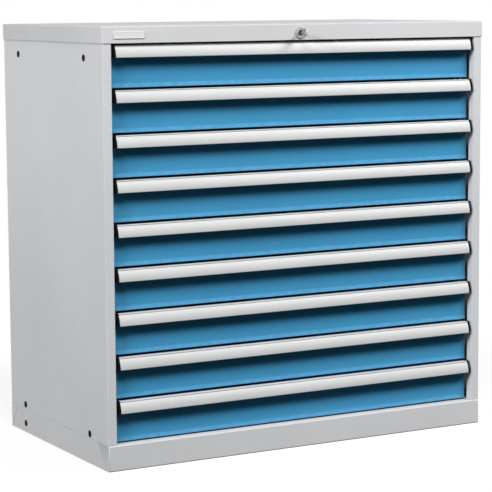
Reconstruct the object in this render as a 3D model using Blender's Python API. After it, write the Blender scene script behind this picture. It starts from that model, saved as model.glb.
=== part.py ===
"""Industrial drawer cabinet: nine drawers on telescopic slides in a folded-sheet carcass with one lock.

Lengths are in metres and +Z is up. Every shape is drawn in the cabinet's own coordinates: X from the middle,
Y from the front face of the fascia towards the back, Z from the floor. An empty then centres the whole on the
world's origin, so that the front faces -Y.
"""

import math

import bmesh
import bpy
from mathutils import Vector

# Carcass
WIDTH = 1.023
DEPTH = 0.572
PLINTH_HEIGHT = 0.060
CAP_HEIGHT = 0.038
SHEET = 0.0012
INSIDE_BEND = 0.0012
PLINTH_INSIDE_BEND = 0.0018
POST_WIDTH = 0.0225
POST_DEPTH = 0.019
REAR_FLANGE = 0.022
FASCIA_LIP = 0.016
FASCIA_LIP_RISE = 0.0004
POST_CLEARANCE = 0.0008

# Plinth corners, which run down at a slant on the sides
FRONT_CORNER_TOP = 0.056
FRONT_CORNER_FOOT = 0.010
REAR_CORNER_TOP = 0.041
REAR_CORNER_FOOT = 0.004
PLINTH_FLANGE = 0.028
PLINTH_SEAM = 0.0006

# Drawers
DRAWER_COUNT = 9
DRAWER_PITCH = 0.100
DRAWER_GAP = 0.0045
LOWEST_DRAWER_RISE = 0.0035
TOP_DRAWER_CLEARANCE = 0.003
FRONT_RECESS = 0.020
FRONT_PAN_DEPTH = 0.015
FRONT_SIDE_CLEARANCE = 0.0075
LOWER_BAND_HEIGHT = 0.009
LOWER_BAND_LEAN = 0.0015
FRONT_INSIDE_ROUND = 0.0004
FRONT_LIP = 0.018

# Handle strip, an extrusion
HANDLE_WALL = 0.002
HANDLE_PROUD = 0.001
HANDLE_DROP = 0.0283
HANDLE_BAND_HEIGHT = 0.0037
HANDLE_FACE_TURN = math.radians(31.5)
HANDLE_BACK_PLATE = 0.017
HANDLE_OVERHANG = 0.003
HANDLE_INSIDE_BEND = 0.0004
GROOVE_WIDTH = 0.0014
GROOVE_DEPTH = 0.0009

# Trays
TRAY_WALL = 0.0012
TRAY_RISE = 0.008
TRAY_TOP_CLEARANCE = 0.0115
TRAY_RIM = 0.006
REAR_SPACE = 0.0711
RUNNER_RISE = 0.040

# Telescopic slides, from the carcass inwards
SLIDE_SHEET = 0.0012
SLIDE_CLEARANCE = 0.0006
RAIL_HEIGHT = 0.040
RAIL_FLANGE = 0.0105
RAIL_REAR_CLEARANCE = 0.024
MEMBER_FLANGE = 0.0125
MEMBER_REAR_OVERRUN = 0.010
RUNNER_REACH = 0.0239
RUNNER_INSET = 0.004
POST_TO_MEMBER = 0.0016

# Perforated uprights
UPRIGHT_WIDTH = 0.035
UPRIGHT_FRONT_INSET = 0.062
UPRIGHT_REAR_INSET = 0.100
UPRIGHT_TOP_CLEARANCE = 0.006
PERFORATION_WIDTH = 0.012
PERFORATION_HEIGHT = 0.010
PERFORATION_PITCH = 0.020
PERFORATION_CLEARANCE = 0.012
PERFORATIONS_PER_DRAWER = 2

# Lock, whose centre lies a little to the left of the middle
LOCK_OFFSET = -0.0055
LOCK_DROP = 0.021
ROSETTE_OVERLAP = 0.00375
ROSETTE_THICKNESS = 0.0025
ROSETTE_CHAMFER = 0.0007
BARREL_WALL = 0.0028
BARREL_DEPTH = 0.024
BARREL_HOLE_CLEARANCE = 0.0004
PLUG_RADIUS = 0.0064
PLUG_CLEARANCE = 0.0003
PLUG_PROUD = 0.0004
KEYWAY_WIDTH = 0.0026
KEYWAY_HEIGHT = 0.0086
KEYWAY_DEPTH = 0.021
KEY_CLEARANCE = 0.0003
KEY_BOW_RADIUS = 0.0115
KEY_HOLE_RADIUS = 0.0032
KEY_HOLE_INSET = 0.0052
KEY_SHOULDER_HEIGHT = 0.011
KEY_REACH = 0.030
SHAFT_SIDE = 0.007
CRANK_THICKNESS = 0.004
CRANK_PIN_RADIUS = 0.0025
CRANK_SLOT_CLEARANCE = 0.0006
CRANK_WEB_MARGIN = 0.002
HANGER_WIDTH = 0.030
HANGER_FOOT = 0.0095
HANGER_THICKNESS = 0.003
HANGER_INSET = 0.040
HANGER_HOLE_CLEARANCE = 0.0004

# Lock bar behind the drawers, and what it catches
BAR_WIDTH = 0.024
BAR_THICKNESS = 0.003
BAR_TRAVEL = 0.010
BAR_HEAD_MARGIN = 0.0085
HOOK_WIDTH = 0.016
HOOK_THICKNESS = 0.003
HOOK_CLEARANCE = 0.002
CLAW_DROP = 0.012
CLAW_RIM_CLEARANCE = 0.0025
CLAW_LIP_CLEARANCE = 0.0022
CLAW_CATCH_CLEARANCE = 0.0023
CLAW_FLOOR_CLEARANCE = 0.002
CATCH_WIDTH = 0.024
GUIDE_WIDTH = 0.006
GUIDE_HEIGHT = 0.020
GUIDE_RISE = 0.030
GUIDE_CLEARANCE = 0.0006
GUIDE_LEVELS = (1, DRAWER_COUNT // 2, DRAWER_COUNT - 1)

# Name plate and the holes for plugs in the sides
PLATE_WIDTH = 0.075
PLATE_HEIGHT = 0.018
PLATE_THICKNESS = 0.0014
PLATE_CORNER = 0.002
PLATE_LEFT_INSET = 0.029
PLATE_TOP_INSET = 0.0102
PLUG_HOLE_RADIUS = 0.005
PLUG_HOLE_FRONT_INSET = 0.101
PLUG_HOLE_REAR_INSET = 0.092
PLUG_HOLE_LOW_INSET = 0.010
PLUG_HOLE_TOP_INSET = 0.071
PLUG_HOLE_FOOT = 0.023

# Running values
SEAT = 0.0003
OVERRUN = 0.004
WELD = 0.0003

# Counts of facets
BEND_STEPS = 2
FACE_STEPS = 6
ROUND_STEPS = 24
HOLE_STEPS = 12
SMOOTH_ANGLE = math.radians(50)
FACING_SHARE = 0.5
ROUND_PROFILE_SHARE = 0.5

# Places that follow from the sizes above
BEND = SHEET + INSIDE_BEND
PLINTH_BEND = SHEET + PLINTH_INSIDE_BEND
FRONT_EDGE_ROUND = SHEET + FRONT_INSIDE_ROUND
SLIDE_BEND = SLIDE_SHEET + INSIDE_BEND
HANDLE_BEND = HANDLE_WALL + HANDLE_INSIDE_BEND
HANDLE_FACE_RADIUS = (HANDLE_DROP - HANDLE_BAND_HEIGHT) / math.sin(HANDLE_FACE_TURN)
BARREL_RADIUS = PLUG_RADIUS + PLUG_CLEARANCE + BARREL_WALL
ROSETTE_RADIUS = BARREL_RADIUS + ROSETTE_OVERLAP
HALF = WIDTH / 2
DRAWER_STACK = DRAWER_COUNT * DRAWER_PITCH - DRAWER_GAP
OPENING_HIGH = PLINTH_HEIGHT + LOWEST_DRAWER_RISE + DRAWER_STACK + TOP_DRAWER_CLEARANCE
HEIGHT = OPENING_HIGH + CAP_HEIGHT
SIDE_OUTER = HALF - SHEET - SEAT
SIDE_INNER = SIDE_OUTER - SHEET
POST_EDGE = SIDE_OUTER - POST_WIDTH
POST_FACE = SHEET + SEAT
SIDE_REAR = DEPTH - SHEET - SEAT
BACK_OUTER = SIDE_REAR - SHEET - SEAT
BACK_INNER = BACK_OUTER - SHEET
SIDE_TOP = HEIGHT - SHEET - BEND
SIDE_FOOT = PLINTH_HEIGHT + SEAT
FRONT_HEIGHT = DRAWER_PITCH - DRAWER_GAP
FRONT_HALF = POST_EDGE - FRONT_SIDE_CLEARANCE
PAN_BACK = FRONT_RECESS + FRONT_PAN_DEPTH
TRAY_FRONT = PAN_BACK + SEAT
TRAY_REAR = BACK_INNER - REAR_SPACE
TRAY_TOP = FRONT_HEIGHT - TRAY_TOP_CLEARANCE
MEMBER_OUTER = POST_EDGE - POST_TO_MEMBER
RAIL_INNER = MEMBER_OUTER + SLIDE_CLEARANCE
RAIL_OUTER = RAIL_INNER + SLIDE_SHEET
RUNNER_OUTER = MEMBER_OUTER - SLIDE_SHEET - SLIDE_CLEARANCE
TRAY_HALF = RUNNER_OUTER - RUNNER_REACH
RAIL_FRONT = PAN_BACK + POST_CLEARANCE + SEAT
RAIL_REAR = BACK_INNER - RAIL_REAR_CLEARANCE
MEMBER_HEIGHT = RAIL_HEIGHT - 2 * (SLIDE_SHEET + SLIDE_CLEARANCE)
RUNNER_HEIGHT = MEMBER_HEIGHT - 2 * (SLIDE_SHEET + SLIDE_CLEARANCE)
LOCK_HEIGHT = HEIGHT - LOCK_DROP
BAR_REAR = BACK_INNER - SEAT
BAR_FRONT = BAR_REAR - BAR_THICKNESS
PIN_SIDE = BAR_TRAVEL / 2
CRANK_RADIUS = math.hypot(PIN_SIDE, PIN_SIDE)
HOOK_RISE = TRAY_TOP + HOOK_CLEARANCE
CLAW_CLEARANCE = TRAY_RIM + CLAW_RIM_CLEARANCE
CATCH_REACH = CLAW_CLEARANCE + HOOK_THICKNESS + CLAW_CATCH_CLEARANCE + TRAY_WALL
CATCH_TOP = HOOK_RISE - CLAW_DROP - CLAW_LIP_CLEARANCE
CATCH_LIP = BAR_TRAVEL - CLAW_LIP_CLEARANCE + CLAW_FLOOR_CLEARANCE + TRAY_WALL
PERFORATION_RISE = RUNNER_RISE + RAIL_HEIGHT / 2 + PERFORATION_CLEARANCE
PLUG_HOLE_REAR = DEPTH - PLUG_HOLE_REAR_INSET
PLUG_HOLE_LOW = PLINTH_HEIGHT + PLUG_HOLE_LOW_INSET
PLUG_HOLE_HIGH = HEIGHT - PLUG_HOLE_TOP_INSET

# Paints and metals: colour, roughness, metallic
LIGHT_GREY = (0.61, 0.62, 0.645), 0.5, 0.0
BLUE = (0.045, 0.26, 0.50), 0.35, 0.0
SATIN_LIGHT = (0.80, 0.81, 0.80), 0.4, 0.35
ZINC = (0.58, 0.60, 0.62), 0.45, 0.9
DARK_GREY = (0.16, 0.17, 0.18), 0.55, 0.0
CHROME = (0.72, 0.72, 0.72), 0.2, 1.0
BRASS = (0.62, 0.50, 0.28), 0.35, 1.0

AXES = {
    "X": lambda u, v, w: (w, u, v),
    "Y": lambda u, v, w: (u, w, v),
    "Z": lambda u, v, w: (u, v, w),
}


def clear_scene():
    for old in list(bpy.data.objects):
        bpy.data.objects.remove(old, do_unlink=True)


def finish_material(name, finish):
    colour, roughness, metallic = finish
    made = bpy.data.materials.new(name)
    made.use_nodes = True
    shader = made.node_tree.nodes["Principled BSDF"]
    shader.inputs["Base Color"].default_value = (*colour, 1.0)
    shader.inputs["Roughness"].default_value = roughness
    shader.inputs["Metallic"].default_value = metallic
    return made


def empty(name, place, parent=None):
    made = bpy.data.objects.new(name, None)
    made.location = place
    made.parent = parent
    bpy.context.scene.collection.objects.link(made)
    return made


def node(name, mesh, finish, parent, place=(0, 0, 0)):
    """One sub-part: its own object with its own material."""
    made = bpy.data.objects.new(name, mesh)
    made.parent = parent
    made.location = place
    bpy.context.scene.collection.objects.link(made)
    if not mesh.materials:
        mesh.materials.append(None)
    made.material_slots[0].link = "OBJECT"
    made.material_slots[0].material = finish_material(name, finish)
    return made


def mesh_of(shape, name, smooth=False):
    mesh = bpy.data.meshes.new(name)
    shape.to_mesh(mesh)
    shape.free()
    if smooth:
        mesh.shade_smooth()
        mesh.set_sharp_from_angle(angle=SMOOTH_ANGLE)
    return mesh


def baked(mesh, tools=(), operation="DIFFERENCE", thickness=None):
    """The mesh after it is thickened inwards, or after each tool mesh is cut away or joined on."""
    body = bpy.data.objects.new("body", mesh)
    bpy.context.scene.collection.objects.link(body)
    helpers = [body]
    if thickness is not None:
        solidify = body.modifiers.new("thickness", "SOLIDIFY")
        solidify.thickness = thickness
        solidify.offset = -1
        solidify.use_even_offset = True
        solidify.use_quality_normals = True
    for tool in tools:
        helper = bpy.data.objects.new("tool", tool)
        helper.hide_render = True
        helper.display_type = "WIRE"
        bpy.context.scene.collection.objects.link(helper)
        helpers.append(helper)
        step = body.modifiers.new("step", "BOOLEAN")
        step.operation = operation
        step.solver = "EXACT"
        step.object = helper
    graph = bpy.context.evaluated_depsgraph_get()
    made = bpy.data.meshes.new_from_object(body.evaluated_get(graph), depsgraph=graph)
    for helper in helpers:
        bpy.data.objects.remove(helper, do_unlink=True)
    return made


def prism(outline, axis, start, end):
    """A closed outline drawn across an axis, extruded along it from start to end."""
    place = AXES[axis]
    shape = bmesh.new()
    face = shape.faces.new([shape.verts.new(place(u, v, start)) for u, v in outline])
    moved = bmesh.ops.extrude_face_region(shape, geom=[face])["geom"]
    ends = [item for item in moved if isinstance(item, bmesh.types.BMVert)]
    bmesh.ops.translate(shape, verts=ends, vec=place(0, 0, end - start))
    bmesh.ops.recalc_face_normals(shape, faces=shape.faces)
    return shape


def solid(outline, axis, start, end, name="solid", smooth=False):
    return mesh_of(prism(outline, axis, start, end), name, smooth)


def block(low, high):
    """A box between two corners, as a shape."""
    outline = [(low[0], low[1]), (high[0], low[1]), (high[0], high[1]), (low[0], high[1])]
    return prism(outline, "Z", low[2], high[2])


def block_mesh(low, high, name="block"):
    return mesh_of(block(low, high), name)


def several(shapes, name):
    """Shapes that don't touch each other, in one mesh."""
    whole = bmesh.new()
    for shape in shapes:
        part = mesh_of(shape, name)
        whole.from_mesh(part)
        bpy.data.meshes.remove(part)
    return mesh_of(whole, name)


def ring_points(centre, radius, steps, start=0.0, sweep=2 * math.pi, closed=True):
    count = steps if closed else steps + 1
    turns = [start + sweep * i / steps for i in range(count)]
    return [(centre[0] + radius * math.cos(a), centre[1] + radius * math.sin(a)) for a in turns]


def bent_sheet(path, radii, thickness, steps=BEND_STEPS):
    """The closed outline of a sheet folded along a path. The path is its outer face, on the left as the path
    runs, and the sheet lies to the right. A bend of radius zero is a sharp corner."""
    points = [Vector(point) for point in path]
    sides = [(b - a).normalized() for a, b in zip(points, points[1:])]
    normals = [Vector((-side.y, side.x)) for side in sides]
    outer = [(points[0], normals[0])]
    for corner, radius, before, after, side in zip(points[1:-1], radii, normals, normals[1:], sides):
        turn = math.atan2(before.cross(after), before.dot(after))
        if radius == 0:
            bisector = (before + after).normalized()
            outer.append((corner, bisector / bisector.dot(before)))
            continue
        away = math.copysign(radius, turn)
        centre = corner - side * radius * math.tan(abs(turn) / 2) + before * away
        for i in range(steps + 1):
            angle = turn * i / steps
            normal = Vector((
                before.x * math.cos(angle) - before.y * math.sin(angle),
                before.x * math.sin(angle) + before.y * math.cos(angle),
            ))
            outer.append((centre - normal * away, normal))
    outer.append((points[-1], normals[-1]))
    inner = [point - normal * thickness for point, normal in reversed(outer)]
    return [tuple(point) for point, _ in outer] + [tuple(point) for point in inner]


def edges_along(shape, test):
    return [edge for edge in shape.edges if test(*(corner.co for corner in edge.verts))]


def rounded(shape, edges, radius, steps=BEND_STEPS):
    bmesh.ops.bevel(
        shape,
        geom=edges,
        offset=radius,
        segments=steps,
        profile=ROUND_PROFILE_SHARE,
        affect="EDGES",
    )


def drop_faces(shape, test):
    doomed = [face for face in shape.faces if test(face.calc_center_median(), face.normal)]
    bmesh.ops.delete(shape, geom=doomed, context="FACES")


def top_cover():
    """A cap open below, with the fascia's inner lip, the lock's hole and the hanger of the lock shaft."""
    cap = block((-HALF, 0, HEIGHT - CAP_HEIGHT), (HALF, DEPTH, HEIGHT))
    drop_faces(cap, lambda centre, normal: normal.z < -FACING_SHARE)
    low = HEIGHT - CAP_HEIGHT / 2
    rounded(cap, edges_along(cap, lambda a, b: max(a.z, b.z) > low), BEND)
    shell = baked(mesh_of(cap, "top_cover"), thickness=SHEET)
    lip_low = OPENING_HIGH + FASCIA_LIP_RISE
    lip_half = POST_EDGE - POST_CLEARANCE
    lip = block_mesh((-lip_half, SHEET - WELD, lip_low), (lip_half, FASCIA_LIP, lip_low + SHEET))
    hanger_rear = BAR_FRONT - HANGER_INSET
    hanger = block_mesh(
        (LOCK_OFFSET - HANGER_WIDTH / 2, hanger_rear - HANGER_THICKNESS, LOCK_HEIGHT - HANGER_FOOT),
        (LOCK_OFFSET + HANGER_WIDTH / 2, hanger_rear, HEIGHT - SHEET + WELD),
    )
    joined = baked(shell, (lip, hanger), "UNION")
    barrel = ring_points((LOCK_OFFSET, LOCK_HEIGHT), BARREL_RADIUS + BARREL_HOLE_CLEARANCE, ROUND_STEPS)
    shaft_radius = SHAFT_SIDE / math.sqrt(2) + HANGER_HOLE_CLEARANCE
    shaft = ring_points((LOCK_OFFSET, LOCK_HEIGHT), shaft_radius, HOLE_STEPS)
    holes = (
        solid(barrel, "Y", -OVERRUN, SHEET + OVERRUN),
        solid(shaft, "Y", hanger_rear - HANGER_THICKNESS - OVERRUN, hanger_rear + OVERRUN),
    )
    return baked(joined, holes)


def side_panel(side):
    """One side with its front post and rear flange folded round, for side -1 (left) or 1 (right)."""
    path = [
        (-POST_EDGE, POST_DEPTH + POST_FACE),
        (-POST_EDGE, POST_FACE),
        (-SIDE_OUTER, POST_FACE),
        (-SIDE_OUTER, SIDE_REAR),
        (-SIDE_OUTER + REAR_FLANGE, SIDE_REAR),
    ]
    outline = [(-side * x, y) for x, y in bent_sheet(path, (BEND, BEND, BEND), SHEET)]
    panel = solid(outline, "Z", SIDE_FOOT, SIDE_TOP, "side_panel")
    inner = side * (SIDE_INNER - OVERRUN)
    holes = [
        prism(ring_points((y, z), PLUG_HOLE_RADIUS, HOLE_STEPS), "X", inner, side * HALF)
        for y in (PLUG_HOLE_FRONT_INSET, PLUG_HOLE_REAR)
        for z in (PLUG_HOLE_LOW, PLUG_HOLE_HIGH)
    ]
    return baked(panel, (several(holes, "plug_holes"),))


def back_panel():
    """The rear sheet, with three guides that hold the lock bar to it."""
    half = SIDE_INNER - BEND
    sheet = block_mesh((-half, BACK_INNER, SIDE_FOOT), (half, BACK_OUTER, SIDE_TOP))
    low = BAR_WIDTH / 2 + GUIDE_CLEARANCE
    guides = [bar_guide(drawer_base(level) + GUIDE_RISE, low) for level in GUIDE_LEVELS]
    return baked(sheet, guides, "UNION")


def bar_guide(height, half):
    """A folded bridge round the lock bar, open above and below."""
    front = BAR_FRONT - GUIDE_CLEARANCE
    outline = [
        (LOCK_OFFSET - half - GUIDE_WIDTH, BACK_INNER + WELD),
        (LOCK_OFFSET - half - GUIDE_WIDTH, front - SHEET),
        (LOCK_OFFSET + half + GUIDE_WIDTH, front - SHEET),
        (LOCK_OFFSET + half + GUIDE_WIDTH, BACK_INNER + WELD),
        (LOCK_OFFSET + half, BACK_INNER + WELD),
        (LOCK_OFFSET + half, front),
        (LOCK_OFFSET - half, front),
        (LOCK_OFFSET - half, BACK_INNER + WELD),
    ]
    return solid(outline, "Z", height, height + GUIDE_HEIGHT)


def plinth_end(top, foot):
    """A plinth end piece: face, ledge, foot lip and slanted returns, drawn with its face at Y zero."""
    outline = [(0, 0), (foot, 0), (top, PLINTH_HEIGHT), (0, PLINTH_HEIGHT)]
    shape = prism(outline, "X", -HALF, HALF)
    drop_faces(shape, lambda centre, normal: normal.y > FACING_SHARE)
    rounded(shape, edges_along(shape, lambda a, b: min(a.y, b.y) == 0 and max(a.z, b.z) > 0), PLINTH_BEND)
    return baked(mesh_of(shape, "plinth"), thickness=SHEET)


def rear_plinth():
    """The same piece turned round to the back."""
    mesh = plinth_end(REAR_CORNER_TOP, REAR_CORNER_FOOT)
    for corner in mesh.vertices:
        corner.co = Vector((-corner.co.x, DEPTH - corner.co.y, corner.co.z))
    return mesh


def side_plinth(side):
    """The plate between two corner pieces, with a flange above for the side panel and a lip on the floor."""
    outline = [
        (FRONT_CORNER_FOOT + PLINTH_SEAM, 0),
        (DEPTH - REAR_CORNER_FOOT - PLINTH_SEAM, 0),
        (DEPTH - REAR_CORNER_TOP - PLINTH_SEAM, PLINTH_HEIGHT),
        (FRONT_CORNER_TOP + PLINTH_SEAM, PLINTH_HEIGHT),
    ]
    shape = prism(outline, "X", side * (HALF - PLINTH_FLANGE), side * HALF)
    drop_faces(shape, lambda centre, normal: max(-side * normal.x, abs(normal.y)) > FACING_SHARE)
    middle = HALF - PLINTH_FLANGE / 2
    top = edges_along(shape, lambda a, b: min(abs(a.x), abs(b.x)) > middle and min(a.z, b.z) > 0)
    rounded(shape, top, PLINTH_BEND)
    plate = baked(mesh_of(shape, "side_plinth"), thickness=SHEET)
    hole = ring_points((PLUG_HOLE_REAR, PLUG_HOLE_FOOT), PLUG_HOLE_RADIUS, HOLE_STEPS)
    return baked(plate, (solid(hole, "X", side * (SIDE_INNER - OVERRUN), side * (HALF + OVERRUN)),))


def drawer_base(level):
    """Height of the lower edge of a drawer front, where level 0 is the lowest drawer."""
    return PLINTH_HEIGHT + LOWEST_DRAWER_RISE + level * DRAWER_PITCH


def channel(side, outer, inner, height, y0, y1):
    """A U-section whose web stands at outer and whose flanges reach inwards to inner."""
    path = [(inner, height / 2), (outer, height / 2), (outer, -height / 2), (inner, -height / 2)]
    outline = bent_sheet(path, (SLIDE_BEND, SLIDE_BEND), SLIDE_SHEET)
    return prism([(side * x, z) for x, z in outline], "Y", y0, y1)


def lifted(shape, height):
    bmesh.ops.translate(shape, verts=shape.verts, vec=(0, 0, height))
    return shape


def upright(side, y0):
    """One perforated upright, a channel whose flanges stand against the side panel."""
    web = RAIL_OUTER - WELD
    path = [
        (SIDE_INNER - SEAT, y0),
        (web, y0),
        (web, y0 + UPRIGHT_WIDTH),
        (SIDE_INNER - SEAT, y0 + UPRIGHT_WIDTH),
    ]
    outline = [(side * x, y) for x, y in bent_sheet(path, (BEND, BEND), SHEET)]
    body = solid(outline, "Z", SIDE_FOOT, OPENING_HIGH - UPRIGHT_TOP_CLEARANCE)
    middle = y0 + UPRIGHT_WIDTH / 2
    slots = []
    for level in range(DRAWER_COUNT):
        for i in range(PERFORATIONS_PER_DRAWER):
            low = drawer_base(level) + PERFORATION_RISE + i * PERFORATION_PITCH - PERFORATION_HEIGHT / 2
            slots.append(block(
                (side * (web - OVERRUN), middle - PERFORATION_WIDTH / 2, low),
                (side * (web + OVERRUN), middle + PERFORATION_WIDTH / 2, low + PERFORATION_HEIGHT),
            ))
    return baked(body, (several(slots, "slots"),))


def rail_rack(side):
    """Two perforated uprights with the nine fixed rails hooked into them, as one body."""
    rails = [
        lifted(
            channel(side, RAIL_OUTER, RAIL_OUTER - RAIL_FLANGE, RAIL_HEIGHT, RAIL_FRONT, RAIL_REAR),
            drawer_base(level) + RUNNER_RISE,
        )
        for level in range(DRAWER_COUNT)
    ]
    front = upright(side, UPRIGHT_FRONT_INSET)
    rear = upright(side, BACK_INNER - UPRIGHT_REAR_INSET - UPRIGHT_WIDTH)
    return baked(front, (several(rails, "rails"), rear), "UNION")


def slide_member(side):
    """The channel that runs between the fixed rail and the tray's runner, drawn at the drawer's base."""
    shape = channel(
        side,
        MEMBER_OUTER,
        MEMBER_OUTER - MEMBER_FLANGE,
        MEMBER_HEIGHT,
        RAIL_FRONT,
        TRAY_REAR + MEMBER_REAR_OVERRUN,
    )
    return mesh_of(lifted(shape, RUNNER_RISE), "slide_member")


def drawer_front():
    """A shallow sheet pan whose lower band leans forward, with a lip behind it that meets the tray."""
    outline = [
        (PAN_BACK, 0),
        (FRONT_RECESS - LOWER_BAND_LEAN, 0),
        (FRONT_RECESS, LOWER_BAND_HEIGHT),
        (FRONT_RECESS, FRONT_HEIGHT),
        (PAN_BACK, FRONT_HEIGHT),
    ]
    shape = prism(outline, "X", -FRONT_HALF, FRONT_HALF)
    back = PAN_BACK - FRONT_PAN_DEPTH / 2
    rear = [face for face in shape.faces if face.normal.y > FACING_SHARE]
    bmesh.ops.inset_region(shape, faces=rear, thickness=FRONT_LIP, use_even_offset=True)
    bmesh.ops.delete(shape, geom=rear, context="FACES")
    face = edges_along(shape, lambda a, b: max(a.y, b.y) < back)
    crease = [edge for edge in face if all(0 < corner.co.z < TRAY_TOP for corner in edge.verts)]
    rounded(shape, [edge for edge in face if edge not in crease], FRONT_EDGE_ROUND)
    return baked(mesh_of(shape, "drawer_front"), thickness=SHEET)


def handle_outline():
    """The section of the handle strip across X: hood face, groove, upright band, ledge and back plate."""
    low = FRONT_HEIGHT - HANDLE_DROP
    centre = (HANDLE_FACE_RADIUS - HANDLE_PROUD, low)
    face = ring_points(centre, HANDLE_FACE_RADIUS, FACE_STEPS, math.pi, -HANDLE_FACE_TURN, closed=False)
    seat = FRONT_RECESS - SEAT
    crease_depth, crease_height = face[-1]
    band = [(crease_depth, FRONT_HEIGHT), (seat, FRONT_HEIGHT), (seat, FRONT_HEIGHT - HANDLE_BACK_PLATE)]
    bends = (0,) * (FACE_STEPS + 1) + (HANDLE_BEND,)
    outline = bent_sheet(face + band, bends, HANDLE_WALL)
    notch = [
        (crease_depth + GROOVE_DEPTH, crease_height + GROOVE_WIDTH / 2),
        (crease_depth, crease_height + GROOVE_WIDTH),
    ]
    return outline[: FACE_STEPS + 1] + notch + outline[FACE_STEPS + 1 :]


def handle_strip():
    half = FRONT_HALF + HANDLE_OVERHANG
    return solid(handle_outline(), "X", -half, half, "handle_strip", smooth=True)


def tray():
    """An open sheet box with a folded rim, a runner on each side and the catch for the lock bar behind."""
    box = block((-TRAY_HALF, TRAY_FRONT, TRAY_RISE), (TRAY_HALF, TRAY_REAR, TRAY_TOP - TRAY_WALL))
    drop_faces(box, lambda centre, normal: normal.z > FACING_SHARE)
    middle, waist = (TRAY_FRONT + TRAY_REAR) / 2, (TRAY_RISE + TRAY_TOP) / 2
    rim = edges_along(box, lambda a, b: min(a.z, b.z) > waist and max(a.y, b.y) > middle)
    grown = bmesh.ops.extrude_edge_only(box, edges=rim)["geom"]
    for corner in (item for item in grown if isinstance(item, bmesh.types.BMVert)):
        corner.co.x += math.copysign(TRAY_RIM, corner.co.x)
        corner.co.y += TRAY_RIM if corner.co.y > middle else 0
    shell = baked(mesh_of(box, "tray"), thickness=TRAY_WALL)
    extras = [runner(side) for side in (-1, 1)] + [catch()]
    return baked(shell, extras, "UNION")


def runner(side):
    """The hat-section runner on one side of the tray."""
    front, rear = TRAY_FRONT + RUNNER_INSET, TRAY_REAR - RUNNER_INSET
    shape = channel(side, RUNNER_OUTER, TRAY_HALF - WELD, RUNNER_HEIGHT, front, rear)
    return mesh_of(lifted(shape, RUNNER_RISE), "runner")


def catch():
    """A bracket behind the tray whose upturned lip the lock bar's claw drops in front of."""
    rear = TRAY_REAR + CATCH_REACH
    low = CATCH_TOP - CATCH_LIP
    outline = [
        (TRAY_REAR - WELD, low),
        (rear, low),
        (rear, CATCH_TOP),
        (rear - TRAY_WALL, CATCH_TOP),
        (rear - TRAY_WALL, low + TRAY_WALL),
        (TRAY_REAR - WELD, low + TRAY_WALL),
    ]
    return solid(outline, "X", LOCK_OFFSET - CATCH_WIDTH / 2, LOCK_OFFSET + CATCH_WIDTH / 2)


def lock_bar():
    """A flat bar with one claw for each drawer and a slotted head for the crank pin."""
    pin_height = LOCK_HEIGHT + PIN_SIDE
    half = BAR_WIDTH / 2
    strip = block_mesh(
        (LOCK_OFFSET - half, BAR_FRONT, drawer_base(0) + HOOK_RISE - CLAW_DROP),
        (LOCK_OFFSET + half, BAR_REAR, pin_height + BAR_HEAD_MARGIN),
    )
    hooks = [bar_hook(drawer_base(level) + HOOK_RISE) for level in range(DRAWER_COUNT)]
    reach = CRANK_PIN_RADIUS + CRANK_SLOT_CLEARANCE
    slot = block_mesh(
        (LOCK_OFFSET + PIN_SIDE - reach, BAR_FRONT - OVERRUN, pin_height - reach),
        (LOCK_OFFSET + CRANK_RADIUS + reach, BAR_REAR + OVERRUN, pin_height + reach),
    )
    return baked(baked(strip, (several(hooks, "hooks"),), "UNION"), (slot,))


def bar_hook(low):
    """An arm from the bar to a downturned claw, which hangs above the gap between tray and catch lip."""
    claw_front = TRAY_REAR + CLAW_CLEARANCE
    top = low + HOOK_THICKNESS
    outline = [
        (BAR_FRONT + WELD, low),
        (BAR_FRONT + WELD, top),
        (claw_front, top),
        (claw_front, low - CLAW_DROP),
        (claw_front + HOOK_THICKNESS, low - CLAW_DROP),
        (claw_front + HOOK_THICKNESS, low),
    ]
    return prism(outline, "X", LOCK_OFFSET - HOOK_WIDTH / 2, LOCK_OFFSET + HOOK_WIDTH / 2)


def lock_housing():
    """The rosette and barrel, turned about the lock's axis."""
    bore = PLUG_RADIUS + PLUG_CLEARANCE
    front = -SEAT - ROSETTE_THICKNESS
    profile = [
        (bore, front),
        (ROSETTE_RADIUS - ROSETTE_CHAMFER, front),
        (ROSETTE_RADIUS, front + ROSETTE_CHAMFER),
        (ROSETTE_RADIUS, -SEAT),
        (BARREL_RADIUS, -SEAT),
        (BARREL_RADIUS, BARREL_DEPTH),
        (bore, BARREL_DEPTH),
    ]
    shape = bmesh.new()
    corners = [shape.verts.new((radius, y, 0)) for radius, y in profile]
    loop = [shape.edges.new(pair) for pair in zip(corners, corners[1:] + corners[:1])]
    bmesh.ops.spin(
        shape,
        geom=corners + loop,
        cent=(0, 0, 0),
        axis=(0, 1, 0),
        angle=2 * math.pi,
        steps=ROUND_STEPS,
        use_merge=True,
    )
    bmesh.ops.recalc_face_normals(shape, faces=shape.faces)
    return mesh_of(shape, "lock_housing", smooth=True)


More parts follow.
